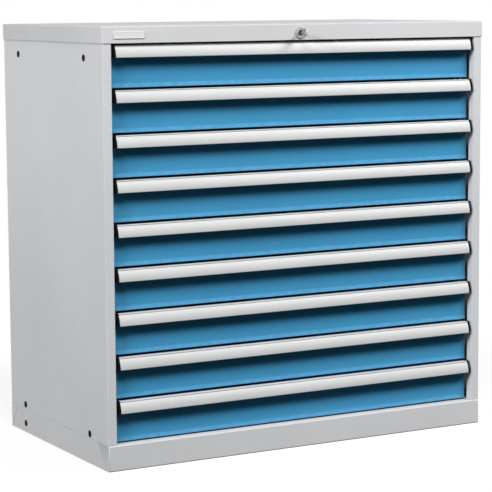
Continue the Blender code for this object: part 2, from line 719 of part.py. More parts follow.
def lock_plug():
    """The turning core with its keyway, the long square shaft and the crank, about the lock's axis."""
    front = -SEAT - ROSETTE_THICKNESS - PLUG_PROUD
    core = solid(ring_points((0, 0), PLUG_RADIUS, ROUND_STEPS), "Y", front, BARREL_DEPTH)
    side = SHAFT_SIDE / 2
    crank_rear = BAR_FRONT - GUIDE_CLEARANCE
    shaft = block_mesh((-side, BARREL_DEPTH - OVERRUN, -side), (side, crank_rear, side))
    crank = solid(crank_outline(), "Y", crank_rear - CRANK_THICKNESS, crank_rear)
    pin_end = BAR_REAR - SEAT
    pin = ring_points((PIN_SIDE, PIN_SIDE), CRANK_PIN_RADIUS, HOLE_STEPS)
    pin_mesh = solid(pin, "Y", crank_rear - CRANK_THICKNESS / 2, pin_end)
    whole = baked(core, (shaft, crank, pin_mesh), "UNION")
    keyway = block_mesh(
        (-KEYWAY_WIDTH / 2, front - OVERRUN, -KEYWAY_HEIGHT / 2),
        (KEYWAY_WIDTH / 2, front + KEYWAY_DEPTH, KEYWAY_HEIGHT / 2),
    )
    return baked(whole, (keyway,))


def crank_outline():
    """A rounded web from the shaft to the crank pin."""
    hub = SHAFT_SIDE / math.sqrt(2) + CRANK_WEB_MARGIN / 2
    tip = CRANK_PIN_RADIUS + CRANK_WEB_MARGIN
    steps = HOLE_STEPS // 2
    lean = math.radians(45)
    around_tip = ring_points((PIN_SIDE, PIN_SIDE), tip, steps, lean - math.pi / 2, math.pi, closed=False)
    around_hub = ring_points((0, 0), hub, steps, lean + math.pi / 2, math.pi, closed=False)
    return around_tip + around_hub


def key():
    """A flat key: round bow with a hole, shoulders and blade, about the lock's axis."""
    thickness = KEYWAY_WIDTH - 2 * KEY_CLEARANCE
    blade = KEYWAY_HEIGHT / 2 - KEY_CLEARANCE
    face = -SEAT - ROSETTE_THICKNESS - PLUG_PROUD
    shoulder = face - KEY_CLEARANCE
    centre = -KEY_REACH + KEY_BOW_RADIUS
    half = KEY_SHOULDER_HEIGHT / 2
    spread = math.asin(half / KEY_BOW_RADIUS)
    bow = ring_points((centre, 0), KEY_BOW_RADIUS, ROUND_STEPS, spread, 2 * (math.pi - spread), closed=False)
    blade_end = face + KEYWAY_DEPTH - KEY_CLEARANCE
    outline = bow + [(shoulder, -half), (shoulder, -blade), (blade_end, -blade), (blade_end, blade)]
    outline += [(shoulder, blade), (shoulder, half)]
    flat = solid(outline, "X", -thickness / 2, thickness / 2)
    hole_centre = (-KEY_REACH + KEY_HOLE_INSET + KEY_HOLE_RADIUS / 2, 0)
    hole = ring_points(hole_centre, KEY_HOLE_RADIUS, HOLE_STEPS)
    return baked(flat, (solid(hole, "X", -OVERRUN, OVERRUN),))


def name_plate():
    """A blank plate with rounded corners on the fascia."""
    left = -HALF + PLATE_LEFT_INSET
    top = HEIGHT - PLATE_TOP_INSET
    centres = [
        (left + PLATE_WIDTH - PLATE_CORNER, top - PLATE_CORNER),
        (left + PLATE_CORNER, top - PLATE_CORNER),
        (left + PLATE_CORNER, top - PLATE_HEIGHT + PLATE_CORNER),
        (left + PLATE_WIDTH - PLATE_CORNER, top - PLATE_HEIGHT + PLATE_CORNER),
    ]
    outline = []
    for quarter, centre in enumerate(centres):
        start = quarter * math.pi / 2
        outline += ring_points(centre, PLATE_CORNER, BEND_STEPS, start, math.pi / 2, closed=False)
    return solid(outline, "Y", -SEAT - PLATE_THICKNESS, -SEAT)


def build_carcass(cabinet):
    node("top_cover", top_cover(), LIGHT_GREY, cabinet)
    for name, side in (("left", -1), ("right", 1)):
        node(f"{name}_side_panel", side_panel(side), LIGHT_GREY, cabinet)
        node(f"{name}_plinth", side_plinth(side), LIGHT_GREY, cabinet)
        node(f"{name}_rail_rack", rail_rack(side), ZINC, cabinet)
    node("back_panel", back_panel(), LIGHT_GREY, cabinet)
    node("front_plinth", plinth_end(FRONT_CORNER_TOP, FRONT_CORNER_FOOT), LIGHT_GREY, cabinet)
    node("rear_plinth", rear_plinth(), LIGHT_GREY, cabinet)
    node("name_plate", name_plate(), SATIN_LIGHT, cabinet)


def build_drawers(cabinet):
    """Drawer 1 is the highest. Each drawer and each pair of slide members hangs on an empty of its own."""
    front, handle, box = drawer_front(), handle_strip(), tray()
    members = {"left": slide_member(-1), "right": slide_member(1)}
    for number in range(1, DRAWER_COUNT + 1):
        place = (0, 0, drawer_base(DRAWER_COUNT - number))
        drawer = empty(f"drawer_{number}", place, cabinet)
        node(f"drawer_{number}_tray", box, DARK_GREY, drawer)
        node(f"drawer_{number}_front", front, BLUE, drawer)
        node(f"drawer_{number}_handle", handle, SATIN_LIGHT, drawer)
        slides = empty(f"slides_{number}", place, cabinet)
        for name, mesh in members.items():
            node(f"slide_{number}_{name}_member", mesh, ZINC, slides)


def build_lock(cabinet):
    axis = empty("lock_axis", (LOCK_OFFSET, 0, LOCK_HEIGHT), cabinet)
    node("lock_housing", lock_housing(), CHROME, axis)
    node("lock_plug", lock_plug(), BRASS, axis)
    node("key", key(), CHROME, axis)
    node("lock_bar", lock_bar(), ZINC, cabinet)


def main():
    clear_scene()
    cabinet = empty("cabinet", (0, (KEY_REACH - DEPTH) / 2, 0))
    build_carcass(cabinet)
    build_drawers(cabinet)
    build_lock(cabinet)


main()
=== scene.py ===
# %% [markdown]
# # A workshop drawer cabinet in painted sheet steel
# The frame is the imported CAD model: every length here is in metres, +X runs along the front, the drawers open
# towards -Y and +Z is up. The real cabinet is folded from 1.2 mm sheet, so most of this lesson is about
# folding an outline, giving it a thickness, and finding paint and metal that look right from any side.

# %% Load the fixed frame
import math

import bmesh
import bpy
from mathutils import Matrix, Vector


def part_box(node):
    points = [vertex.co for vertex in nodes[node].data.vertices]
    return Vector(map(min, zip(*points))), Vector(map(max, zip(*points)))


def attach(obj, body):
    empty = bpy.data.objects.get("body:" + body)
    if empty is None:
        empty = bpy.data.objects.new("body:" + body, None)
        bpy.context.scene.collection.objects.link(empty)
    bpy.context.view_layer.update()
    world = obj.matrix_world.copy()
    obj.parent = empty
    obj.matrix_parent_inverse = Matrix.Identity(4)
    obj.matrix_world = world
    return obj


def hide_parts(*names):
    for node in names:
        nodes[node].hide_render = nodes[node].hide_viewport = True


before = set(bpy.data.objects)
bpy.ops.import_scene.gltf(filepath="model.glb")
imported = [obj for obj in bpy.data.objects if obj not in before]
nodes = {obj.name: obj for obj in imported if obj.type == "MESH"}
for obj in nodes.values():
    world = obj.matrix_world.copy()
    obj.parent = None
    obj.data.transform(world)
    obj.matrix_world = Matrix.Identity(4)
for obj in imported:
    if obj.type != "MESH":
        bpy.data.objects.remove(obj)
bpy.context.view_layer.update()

# %% [markdown]
# ## Sizes
# Sizes are read from the frame where it has them, so that a piece goes where the CAD says. The fascia's front
# face is the plane that most depths are measured from, and each drawer has a base height at its lower edge.
# GAP parts two painted pieces, WELD is how far joined sheets overlap, and places closer than NEAR are one.

# %% Read the main sizes from the frame
DRAWERS = range(1, 10)
SHEET = 0.0012
GAP = 0.0003
WELD = 0.0003
NEAR = 1e-6

cap_low, cap_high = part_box("top_cover")
HALF = cap_high.x
FACE = cap_low.y
REAR = cap_high.y
HEIGHT = cap_high.z
CAP_FOOT = cap_low.z
base = {n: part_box(f"drawer_{n}_front")[0].z for n in DRAWERS}
FRONT_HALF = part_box("drawer_1_front")[1].x
FRONT_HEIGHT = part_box("drawer_1_front")[1].z - base[1]
print("cabinet", round(2 * HALF, 4), round(REAR - FACE, 4), HEIGHT, "drawer bases", base)


# %% [markdown]
# ## Tools for folded sheet
# A folded part has the same section all along its length. So the section is drawn once as a path, each corner
# is turned into an arc of a few short steps, and the whole is pulled out along one axis. Pans and caps are
# folded on all sides instead: there a block loses one face, its edges are rounded, and Solidify gives the
# sheet its thickness inwards.

# %% Draw, extrude, round and thicken
AXES = {
    "X": lambda u, v, w: (w, u, v),
    "Y": lambda u, v, w: (u, w, v),
    "Z": lambda u, v, w: (u, v, w),
}
FACING_SHARE = 0.5


def prism(outline, axis, start, end):
    """A closed outline drawn across an axis and extruded along it, as a shape."""
    place = AXES[axis]
    shape = bmesh.new()
    face = shape.faces.new([shape.verts.new(place(u, v, start)) for u, v in outline])
    grown = bmesh.ops.extrude_face_region(shape, geom=[face])["geom"]
    ends = [item for item in grown if isinstance(item, bmesh.types.BMVert)]
    bmesh.ops.translate(shape, verts=ends, vec=place(0, 0, end - start))
    bmesh.ops.recalc_face_normals(shape, faces=shape.faces)
    return shape


def block(low, high):
    """A box from its lowest to its highest corner, as a shape."""
    outline = [(low[0], low[1]), (high[0], low[1]), (high[0], high[1]), (low[0], high[1])]
    return prism(outline, "Z", low[2], high[2])


def faces_towards(shape, *ways):
    """The faces that look more or less one of the ways."""
    return [face for face in shape.faces if any(face.normal.dot(way) > FACING_SHARE for way in ways)]


def drop_faces(shape, *ways):
    bmesh.ops.delete(shape, geom=faces_towards(shape, *ways), context="FACES")


def round_edges(shape, test, radius, steps=6):
    """Bevels each edge whose two corners pass the test."""
    chosen = [edge for edge in shape.edges if test(*(corner.co for corner in edge.verts))]
    bmesh.ops.bevel(shape, geom=chosen, offset=radius, segments=steps, profile=0.5, affect="EDGES")


def folded(path, radius, steps=6):
    """The closed outline of a sheet folded along a path, which is its outer face, on the left as it runs."""
    points = [Vector(point) for point in path]
    sides = [(b - a).normalized() for a, b in zip(points, points[1:])]
    normals = [Vector((-side.y, side.x)) for side in sides]
    outer = [(points[0], normals[0])]
    for corner, before, after, side in zip(points[1:-1], normals, normals[1:], sides):
        turn = math.atan2(before.cross(after), before.dot(after))
        away = math.copysign(radius, turn)
        centre = corner - side * radius * math.tan(abs(turn) / 2) + before * away
        for i in range(steps + 1):
            angle = turn * i / steps
            c, s = math.cos(angle), math.sin(angle)
            normal = Vector((before.x * c - before.y * s, before.x * s + before.y * c))
            outer.append((centre - normal * away, normal))
    outer.append((points[-1], normals[-1]))
    inner = [point - normal * SHEET for point, normal in reversed(outer)]
    return [tuple(point) for point, _ in outer] + [tuple(point) for point in inner]


# %% Bake modifiers into plain meshes
def in_scene(name, data):
    """A new object that holds the data, linked to the scene."""
    made = bpy.data.objects.new(name, data)
    bpy.context.scene.collection.objects.link(made)
    return made


def mesh_from(shape, name):
    mesh = bpy.data.meshes.new(name)
    shape.to_mesh(mesh)
    shape.free()
    return mesh


def baked(mesh, *steps):
    """The mesh after each modifier in turn, as a plain mesh."""
    helper = in_scene("helper", mesh)
    for kind, settings in steps:
        step = helper.modifiers.new(kind.title(), kind)
        for key, value in settings.items():
            if key in step.bl_rna.properties:
                setattr(step, key, value)
            else:
                step[key] = value
    graph = bpy.context.evaluated_depsgraph_get()
    made = bpy.data.meshes.new_from_object(helper.evaluated_get(graph), depsgraph=graph)
    bpy.data.objects.remove(helper, do_unlink=True)
    return made


def thick(shape, name):
    """An open shell thickened inwards, as a closed sheet."""
    solidify = {"thickness": SHEET, "offset": -1, "use_even_offset": True, "use_quality_normals": True}
    return baked(mesh_from(shape, name), ("SOLIDIFY", solidify))


def together(meshes, name):
    """Several meshes in one, each kept as its own closed shell."""
    whole = bmesh.new()
    for mesh in meshes:
        whole.from_mesh(mesh)
    return mesh_from(whole, name)


def moved(mesh, place):
    copy = mesh.copy()
    copy.transform(Matrix.Translation(place))
    return copy


def smoothed(mesh, degrees=35):
    """Soft shading over the folds, while flats stay flat and square edges stay crisp."""
    mesh.shade_smooth()
    mesh.set_sharp_from_angle(angle=math.radians(degrees))
    return baked(mesh, ("WEIGHTED_NORMAL", {"keep_sharp": True, "weight": 90}))


# %% [markdown]
# ## Node maths
# A material is a small graph of nodes, and so are the world and a Geometry Nodes tree. Writing them as sums
# and products is much easier to read, so one class wraps a socket, and plus, minus and times each add a Math
# node. Every finish starts from the Principled shader, and what varies over a surface goes only to its
# colour, roughness or normal.

# %% Wrap sockets so that they can be added and multiplied
EVEN = (1.0, 1.0, 1.0)


class Value:
    """An output socket of a graph that can be used in sums."""

    def __init__(self, graph, socket):
        self.graph = graph
        self.socket = socket

    def maths(self, operation, other):
        return self.graph.node("ShaderNodeMath", {"operation": operation}, {0: self, 1: other})

    def __add__(self, other):
        return self.maths("ADD", other)

    def __sub__(self, other):
        return self.maths("SUBTRACT", other)

    def __mul__(self, other):
        return self.maths("MULTIPLY", other)


def socket_of(sockets, key):
    """A socket by its number, its identifier or its name."""
    if isinstance(key, int):
        return sockets[key]
    return next(socket for socket in sockets if key in (socket.identifier, socket.name))


class Graph:
    """A tree of nodes, to which nodes are added one at a time."""

    def __init__(self, tree):
        self.tree = tree

    def fill(self, node, values):
        """Links each value that comes from a node and sets each plain one."""
        for key, value in values.items():
            socket = socket_of(node.inputs, key)
            if isinstance(value, Value):
                self.tree.links.new(value.socket, socket)
            elif isinstance(value, tuple) and socket.type == "RGBA":
                socket.default_value = (*value, 1.0)
            else:
                socket.default_value = value

    def node(self, kind, settings, values, output=0):
        """Any node: its settings are set first, then its sockets are filled with values or links."""
        made = self.tree.nodes.new(kind)
        for key, value in settings.items():
            setattr(made, key, value)
        self.fill(made, values)
        return Value(self, socket_of(made.outputs, output))

    def end(self, kind, socket, result):
        """Links the result to the tree's output node, which is made where there is none."""
        found = [node for node in self.tree.nodes if node.bl_idname == kind]
        self.fill(found[0] if found else self.tree.nodes.new(kind), {socket: result})


class Finish(Graph):
    """One material and the nodes that make it."""

    def __init__(self, name):
        self.material = bpy.data.materials.new(name)
        self.material.use_nodes = True
        super().__init__(self.material.node_tree)
        self.shader = self.tree.nodes["Principled BSDF"]

    def noise(self, scale, detail=3.0, stretch=EVEN, offset=(0.0, 0.0, 0.0)):
        """Clouds from 0 to 1 in the object's own coordinates."""
        place = self.node("ShaderNodeTexCoord", {}, {}, "Object")
        laid = self.node("ShaderNodeMapping", {}, {"Vector": place, "Scale": stretch, "Location": offset})
        return self.node("ShaderNodeTexNoise", {}, {"Vector": laid, "Scale": scale, "Detail": detail})

    def ramp(self, value, low, high, start=0.0, end=1.0):
        """The value's stretch from low to high spread over start to end, smoothly and held at the ends."""
        settings = {"interpolation_type": "SMOOTHSTEP"}
        places = {"Value": value, "From Min": low, "From Max": high, "To Min": start, "To Max": end}
        return self.node("ShaderNodeMapRange", settings, places)

    def mix(self, factor, first, second):
        values = {"Factor_Float": factor, "A_Color": first, "B_Color": second}
        return self.node("ShaderNodeMix", {"data_type": "RGBA"}, values, "Result_Color")

    def bump(self, height, distance):
        values = {"Height": height, "Distance": distance, "Strength": 1.0}
        return self.node("ShaderNodeBump", {}, values, "Normal")

    def mask(self, name):
        """A number painted on the mesh's points, such as where a fold runs."""
        return self.node("ShaderNodeAttribute", {"attribute_name": name}, {}, "Fac")


# %% [markdown]
# ## Paint and metal
# Powder coat is a cured plastic skin: it is slightly lumpy at about a millimetre, and it has clouds of tone too
# faint to name. Along sharp folds it gets a painted highlight, paler paint, and the faces that look up get
# painted shade, darker paint. Zinc plate has pale crystals and a drawn grain, nickel is smooth, and the
# extruded strip has fine lines along its length from the die. SOFT and CRISP are the parts of a noise that
# become a full tone.

# %% Mix the finishes
SOFT = (0.3, 0.7)
CRISP = (0.35, 0.65)
PAINT_LUMP = 0.00003
DRAWN_LINE = 0.000012
FINE_GRAIN = 0.00002


def toned(colour, times, plus=0.0):
    """The colour made lighter or darker, and never brighter than white."""
    return tuple(min(1.0, times * c + plus) for c in colour)


def powder_coat(name, colour, roughness, specular):
    finish = Finish(name)
    clouds = finish.ramp(finish.noise(scale=2.6, detail=4.0), *SOFT)
    grain = finish.noise(scale=420.0, detail=2.0)
    speckle = clouds * 0.7 + finish.ramp(grain, *CRISP) * 0.3
    tone = finish.mix(speckle, toned(colour, 0.955), toned(colour, 1.05, 0.004))
    # Painted highlight: paler paint along the folds and on the fronts' leaning band.
    fold_highlight = finish.mask("fold") * finish.ramp(finish.noise(scale=60.0), *CRISP, start=0.25, end=0.75)
    # Painted shade: darker paint on the faces that look up.
    top_shade = finish.mask("top") * finish.ramp(finish.noise(scale=5.0, detail=4.0), 0.2, 0.8, start=0.8)
    with_fold_highlight = finish.mix(fold_highlight, tone, toned(colour, 1.03, 0.05))
    finish.fill(finish.shader, {
        "Base Color": finish.mix(top_shade, with_fold_highlight, toned(colour, 0.74)),
        "Roughness": clouds * 0.06 + (finish.ramp(grain, *SOFT) * 0.05 + (roughness - 0.05)),
        "Normal": finish.bump(grain, PAINT_LUMP),
        "Specular IOR Level": specular,
    })
    return finish.material


def drawn_metal(name, colour, roughness, metallic, stretch=EVEN, scale=180.0, specular=0.5):
    """Fine lines along the way in which the noise is stretched, or an even grain."""
    finish = Finish(name)
    lines = finish.noise(scale, 5.0, stretch)
    clouds = finish.ramp(finish.noise(scale=7.0, offset=(3.0, 1.0, 2.0)), *SOFT)
    speckle = clouds * 0.5 + finish.ramp(lines, *SOFT) * 0.5
    finish.fill(finish.shader, {
        "Base Color": finish.mix(speckle, toned(colour, 0.93), colour),
        "Roughness": finish.ramp(lines, *SOFT) * 0.10 + clouds * 0.05 + (roughness - 0.07),
        "Normal": finish.bump(lines, DRAWN_LINE),
        "Metallic": metallic,
        "Specular IOR Level": specular,
    })
    return finish.material


def zinc_plate(name):
    finish = Finish(name)
    place = finish.node("ShaderNodeTexCoord", {}, {}, "Object")
    crystals = finish.node("ShaderNodeTexVoronoi", {}, {"Vector": place, "Scale": 240.0}, "Color")
    facet = finish.node("ShaderNodeSeparateXYZ", {}, {"Vector": crystals}, "X")
    drawn = finish.noise(scale=120.0, detail=4.0, stretch=(1.0, 0.05, 1.0))
    tone = facet * 0.35 + finish.ramp(drawn, *SOFT) * 0.65
    finish.fill(finish.shader, {
        "Base Color": finish.mix(tone, (0.47, 0.49, 0.51), (0.62, 0.64, 0.66)),
        "Roughness": tone * 0.14 + 0.34,
        "Normal": finish.bump(drawn, FINE_GRAIN),
        "Metallic": 0.85,
    })
    return finish.material


def moulded_plastic(name, colour, roughness):
    finish = Finish(name)
    grain = finish.noise(scale=900.0, detail=2.0)
    clouds = finish.ramp(finish.noise(scale=40.0), *SOFT)
    finish.fill(finish.shader, {
        "Base Color": finish.mix(clouds, colour, toned(colour, 1.6)),
        "Roughness": finish.ramp(grain, *SOFT) * 0.12 + (roughness - 0.06),
        "Normal": finish.bump(grain, FINE_GRAIN),
        "Specular IOR Level": 0.03,
    })
    return finish.material


CARCASS_GREY = (0.653, 0.661, 0.677)
BLUE = (0.056, 0.290, 0.520)
TRAY_GREY = (0.150, 0.158, 0.168)
DIE_LINES = (0.02, 1.0, 1.0)
BRUSHED = (0.05, 1.0, 1.0)
grey_paint = powder_coat("grey_paint", CARCASS_GREY, roughness=0.52, specular=0.05)
cap_paint = powder_coat("cap_paint", CARCASS_GREY, roughness=0.56, specular=0.0)
blue_paint = powder_coat("blue_paint", BLUE, roughness=0.50, specular=0.05)
tray_paint = powder_coat("tray_paint", TRAY_GREY, roughness=0.55, specular=0.30)
strip_metal = drawn_metal("strip_metal", (0.545, 0.550, 0.550), 0.55, 0.10, DIE_LINES, specular=0.25)
plate_metal = drawn_metal("plate_metal", (0.760, 0.770, 0.780), 0.38, 0.20, BRUSHED)
nickel = drawn_metal("nickel", (0.400, 0.398, 0.392), 0.42, 0.65, scale=260.0)
# Painted shade: the core is dark for the key's shadow and the keyway.
shaded_core_metal = drawn_metal("shaded_core_metal", (0.050, 0.048, 0.045), 0.50, 0.60, scale=260.0, specular=0.2)
zinc = zinc_plate("zinc")
black_plastic = moulded_plastic("black_plastic", (0.003, 0.003, 0.0035), roughness=0.60)
# Painted shadow: the dark colour of the strips in the plinth's seams.
seam_shadow_paint = moulded_plastic("seam_shadow_paint", (0.030, 0.030, 0.032), roughness=0.70)
print("finishes", [material.name for material in bpy.data.materials])


# %% [markdown]
# ## Putting a piece on a body
# A finished piece sits at the origin with its place in its mesh, rides on a CAD body, and hides the nodes it
# stands for. Where a fold runs, its points carry a number, so that the paint there can get a painted
# highlight. The points of a top carry another number, for painted shade.

# %% Mark the folds and the top, and place a piece
SQUARE_SHARE = 0.999
TOP_SHADE_REACH = 0.0014


def mark(mesh, name, values):
    """Paints a number on each point of a mesh."""
    painted = mesh.attributes.new(name, "FLOAT", "POINT")
    painted.data.foreach_set("value", [float(value) for value in values])


def mark_folds(mesh):
    """Gives 1 to each point that lies only on narrow, slanted faces, which are the steps of a fold."""
    slanted = [True] * len(mesh.vertices)
    for face in mesh.polygons:
        if max(abs(x) for x in face.normal) > SQUARE_SHARE:
            for corner in face.vertices:
                slanted[corner] = False
    mark(mesh, "fold", slanted)


def mark_shaded_top(mesh, height):
    """Gives 1 to each point on a top face and on the upper half of its bends, where painted shade darkens the
    paint.
    """
    mark(mesh, "top", [corner.co.z > height - TOP_SHADE_REACH for corner in mesh.vertices])
    return mesh


def piece(name, mesh, finish, body, replaced=(), folds=False):
    """One piece of the visual: a mesh in its finish, riding on a body in place of some nodes."""
    if folds:
        mark_folds(mesh)
    mesh.name = name
    mesh.materials.clear()
    mesh.materials.append(finish)
    made = in_scene(name, mesh)
    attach(made, body)
    if replaced:
        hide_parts(*replaced)
    return made


def on_drawers(label, mesh, finish, part=None, folds=False):
    """A copy of one mesh on each drawer, at its base height, in place of that drawer's part."""
    for n in DRAWERS:
        replaced = [f"drawer_{n}_{part}"] if part else []
        copy = moved(mesh, (0, 0, base[n]))
        piece(f"drawer_{n}_{label}", copy, finish, f"drawer_{n}", replaced, folds)


# %% [markdown]
# ## The carcass: cap, sides and plinth
# The top is one pan turned upside down over the sides, with a narrow lip turned in under the fascia. Each
# side is one sheet that folds round into the front post and into a flange at the back. The plinth's front
# corner runs down the side at a slant, where a fine dark strip, a painted shadow, parts it from the side plate.
# Solidify on a rounded open block gives the pans, and an extruded outline gives the sides.

# %% Fold the cap
FORWARD, BACKWARD, DOWN = Vector((0, -1, 0)), Vector((0, 1, 0)), Vector((0, 0, -1))
BEND = 0.0026
CAP_LIFT = 0.0005
LIP_DEPTH = 0.016
LIP_LIFT = 0.0004
LIP_END_GAP = 0.0008

side_low, side_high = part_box("right_side_panel")
POST_EDGE, SIDE_OUTER = side_low.x, side_high.x


def cap_sheet():
    foot = CAP_FOOT + CAP_LIFT
    shape = block((-HALF, FACE, foot), (HALF, REAR, HEIGHT))
    drop_faces(shape, DOWN)
    middle = (CAP_FOOT + HEIGHT) / 2
    round_edges(shape, lambda a, b: max(a.z, b.z) > middle, BEND)
    shell = thick(shape, "cap")
    half, low = POST_EDGE - LIP_END_GAP, foot + LIP_LIFT
    lip = block((-half, FACE + SHEET - WELD, low), (half, FACE + LIP_DEPTH, low + SHEET))
    return together([shell, mesh_from(lip, "lip")], "cap")


# The cap's top is marked for painted shade.
cap_mesh = mark_shaded_top(smoothed(cap_sheet()), HEIGHT)
cap = piece("cap", cap_mesh, cap_paint, "cabinet", ["top_cover"], folds=True)
print("cap", len(cap.data.polygons), "faces, post edge", round(POST_EDGE, 4))


# %% Fold the two sides
POST_RETURN = 0.019
REAR_FLANGE = 0.022


def side_sheet(side):
    front, rear = side_low.y, side_high.y
    path = [
        (-POST_EDGE, front + POST_RETURN),
        (-POST_EDGE, front),
        (-SIDE_OUTER, front),
        (-SIDE_OUTER, rear),
        (-SIDE_OUTER + REAR_FLANGE, rear),
    ]
    outline = [(-side * x, y) for x, y in folded(path, BEND)]
    return mesh_from(prism(outline, "Z", side_low.z, side_high.z), "side")


for name, side in (("left", -1), ("right", 1)):
    sheet = smoothed(side_sheet(side))
    replaced = [f"{name}_side_panel"]
    piece(f"{name}_side", sheet, grey_paint, "cabinet", replaced, folds=True)
print("sides from", round(side_low.z, 4), "to", round(side_high.z, 4))


# %% Fold the plinth
PLINTH = side_low.z - GAP
PLINTH_BEND = 0.0032
PLATE_BEND = 0.0016
PLATE_RETURN = 0.028
SEAM = 0.0010
BEAD_DEPTH = 0.0011
BEAD_SUNK = 0.00005
BEAD_MARGIN = 0.004
BEAD_FOOT = 0.001
# How far from the cabinet's face or rear each seam meets the floor and the plinth's top.
FRONT_CUT = (0.010, 0.056)
REAR_CUT = (0.004, 0.041)


def plinth_end(foot, top):
    """The front or rear of the plinth, whose folded ends reach round both corners."""
    outline = [(0, 0), (foot, 0), (top, PLINTH), (0, PLINTH)]
    shape = prism(outline, "X", -SIDE_OUTER, SIDE_OUTER)
    drop_faces(shape, BACKWARD)
    round_edges(shape, lambda a, b: a.y == 0 and b.y == 0, PLINTH_BEND)
    return thick(shape, "plinth")


def plinth_side(side):
    """The plate between the two slanted seams of one side, turned in at its foot and its top."""
    foot = [(FACE + FRONT_CUT[0] + SEAM, 0), (REAR - REAR_CUT[0] - SEAM, 0)]
    outline = foot + [(REAR - REAR_CUT[1] - SEAM, PLINTH), (FACE + FRONT_CUT[1] + SEAM, PLINTH)]
    outer = side * SIDE_OUTER
    shape = prism(outline, "X", outer - side * PLATE_RETURN, outer)
    drop_faces(shape, Vector((-side, 0, 0)), FORWARD, BACKWARD)

    def outer_foot(a, b):
        return a.x == b.x and abs(a.x - outer) < NEAR and max(a.z, b.z) == 0

    round_edges(shape, outer_foot, PLATE_BEND)
    return thick(shape, "plinth_side")


def seam_shadow_strips(side):
    """Dark strips that paint the shadow in the joints of one side: along its plate's top and down its two
    slanted ends.
    """
    start, end = sorted((side * (SIDE_OUTER - BEAD_DEPTH), side * (SIDE_OUTER - BEAD_SUNK)))
    front, rear = FACE + BEAD_MARGIN, REAR - BEAD_MARGIN
    long = [(front, PLINTH), (rear, PLINTH), (rear, PLINTH + GAP), (front, PLINTH + GAP)]
    beads = [prism(long, "X", start, end)]
    for edge, way, (foot, top) in ((FACE, 1, FRONT_CUT), (REAR, -1, REAR_CUT)):
        near = [(edge + way * foot, BEAD_FOOT), (edge + way * top, PLINTH)]
        far = [(y + way * SEAM, z) for y, z in reversed(near)]
        beads.append(prism(near + far, "X", start, end))
    return [mesh_from(bead, "bead") for bead in beads]


# The front plinth's top is marked for painted shade.
front_piece = mark_shaded_top(moved(plinth_end(*FRONT_CUT), (0, FACE, 0)), PLINTH)
back_piece = plinth_end(*REAR_CUT)
back_piece.transform(Matrix.Translation((0, REAR, 0)) @ Matrix.Rotation(math.pi, 4, "Z"))
for name, mesh in (
    ("front_plinth", front_piece),
    ("rear_plinth", back_piece),
    ("left_plinth", plinth_side(-1)),
    ("right_plinth", plinth_side(1)),
):
    piece(f"{name}_sheet", smoothed(mesh), grey_paint, "cabinet", [name], folds=True)
# Painted shadow: dark strips fill the seams, where only shade falls.
piece("plinth_seams", together(seam_shadow_strips(-1) + seam_shadow_strips(1), "seams"), seam_shadow_paint, "cabinet")
print("plinth height", round(PLINTH, 4))

# %% [markdown]
# ## The drawer fronts
# A front is a shallow pan. Its lowest strip leans forward a little, so that it faces more of the light from
# above. It also counts as a fold, so a painted highlight makes the band paler still. The nine fronts are one
# mesh, copied to nine heights.

# %% Press one front and place nine
RECESS = 0.020
PAN = 0.035
PAN_LIP = 0.018
BAND = 0.0092
BAND_LEAN = 0.0015
CREASE = 0.0012
CREASE_LEAN = 0.0001
FACE_DROP = 0.0016
FACE_BEND = 0.0016


def drawer_face():
    """A pan that is open at the back, with a leaning band and a soft crease above it."""
    lean = [(RECESS - BAND_LEAN, 0), (RECESS - CREASE_LEAN, BAND), (RECESS, BAND + CREASE)]
    top = FRONT_HEIGHT - FACE_DROP
    outline = [(PAN, 0), *lean, (RECESS, top), (PAN, top)]
    shape = prism(outline, "X", -FRONT_HALF, FRONT_HALF)
    rear = faces_towards(shape, BACKWARD)
    bmesh.ops.inset_region(shape, faces=rear, thickness=PAN_LIP, use_even_offset=True)
    bmesh.ops.delete(shape, geom=rear, context="FACES")
    halfway = (RECESS + PAN) / 2

    def outer_edge(a, b):
        crease = abs(a.z - b.z) < NEAR and 0 < a.z < top
        return max(a.y, b.y) < halfway and not crease

    round_edges(shape, outer_edge, FACE_BEND, 4)
    return thick(shape, "face")


face_mesh = smoothed(moved(drawer_face(), (0, FACE, 0)), 30)
on_drawers("face", face_mesh, blue_paint, "front", folds=True)
print("front", round(2 * FRONT_HALF, 4), "x", round(FRONT_HEIGHT, 4))

# %% [markdown]
# ## The handle strips
# The handle is a length of extruded section, so it is one outline pulled out along X: a hood that curves up
# and back, a fine groove at the crease, an upright band, a ledge and a plate against the front. Moulded caps
# close its two ends, a little larger than the section. Heights are measured down from the front's top.

# %% Draw the section
HOOD_DROP = 0.0283
CREASE_DROP = 0.0037
LEDGE_DROP = 0.0007
SEAT_DROP = 0.017
HOOD_LOW = FRONT_HEIGHT - HOOD_DROP
HOOD_TURN = math.radians(31.5)
HOOD_RADIUS = (HOOD_DROP - CREASE_DROP) / math.sin(HOOD_TURN)
PROUD = 0.001
WALL = 0.002
SEAT = RECESS - GAP
NOSE = ((0.0010, 0.0), (0.0004, 0.0002), (0.0001, 0.0006))
NOSE_HEIGHT = 0.0009
GROOVE = 0.0009
GROOVE_LOW, GROOVE_HIGH, GROOVE_END = 0.0002, 0.0011, 0.0014
BAND_EDGE, BAND_STEP = 0.0006, 0.0002
LEDGE_EDGE, LEDGE_STEP = 0.0010, 0.0003


def arc(u, v, radius, start, sweep, steps):
    """Points round the centre (u, v), from a starting angle through a sweep, both ends included."""
    turns = [start + sweep * i / steps for i in range(steps + 1)]
    return [(u + radius * math.cos(a), v + radius * math.sin(a)) for a in turns]


def hood_points(radius, steps):
    """The curved face of the hood, from its lower lip up to the crease."""
    return arc(HOOD_RADIUS - PROUD, HOOD_LOW, radius, math.pi, -HOOD_TURN, steps)


def nosed(points):
    """The same face with its lower lip rounded under."""
    y, z = points[0]
    nose = [(y + back, z + up) for back, up in NOSE]
    return nose + [point for point in points if point[1] > z + NOSE_HEIGHT]


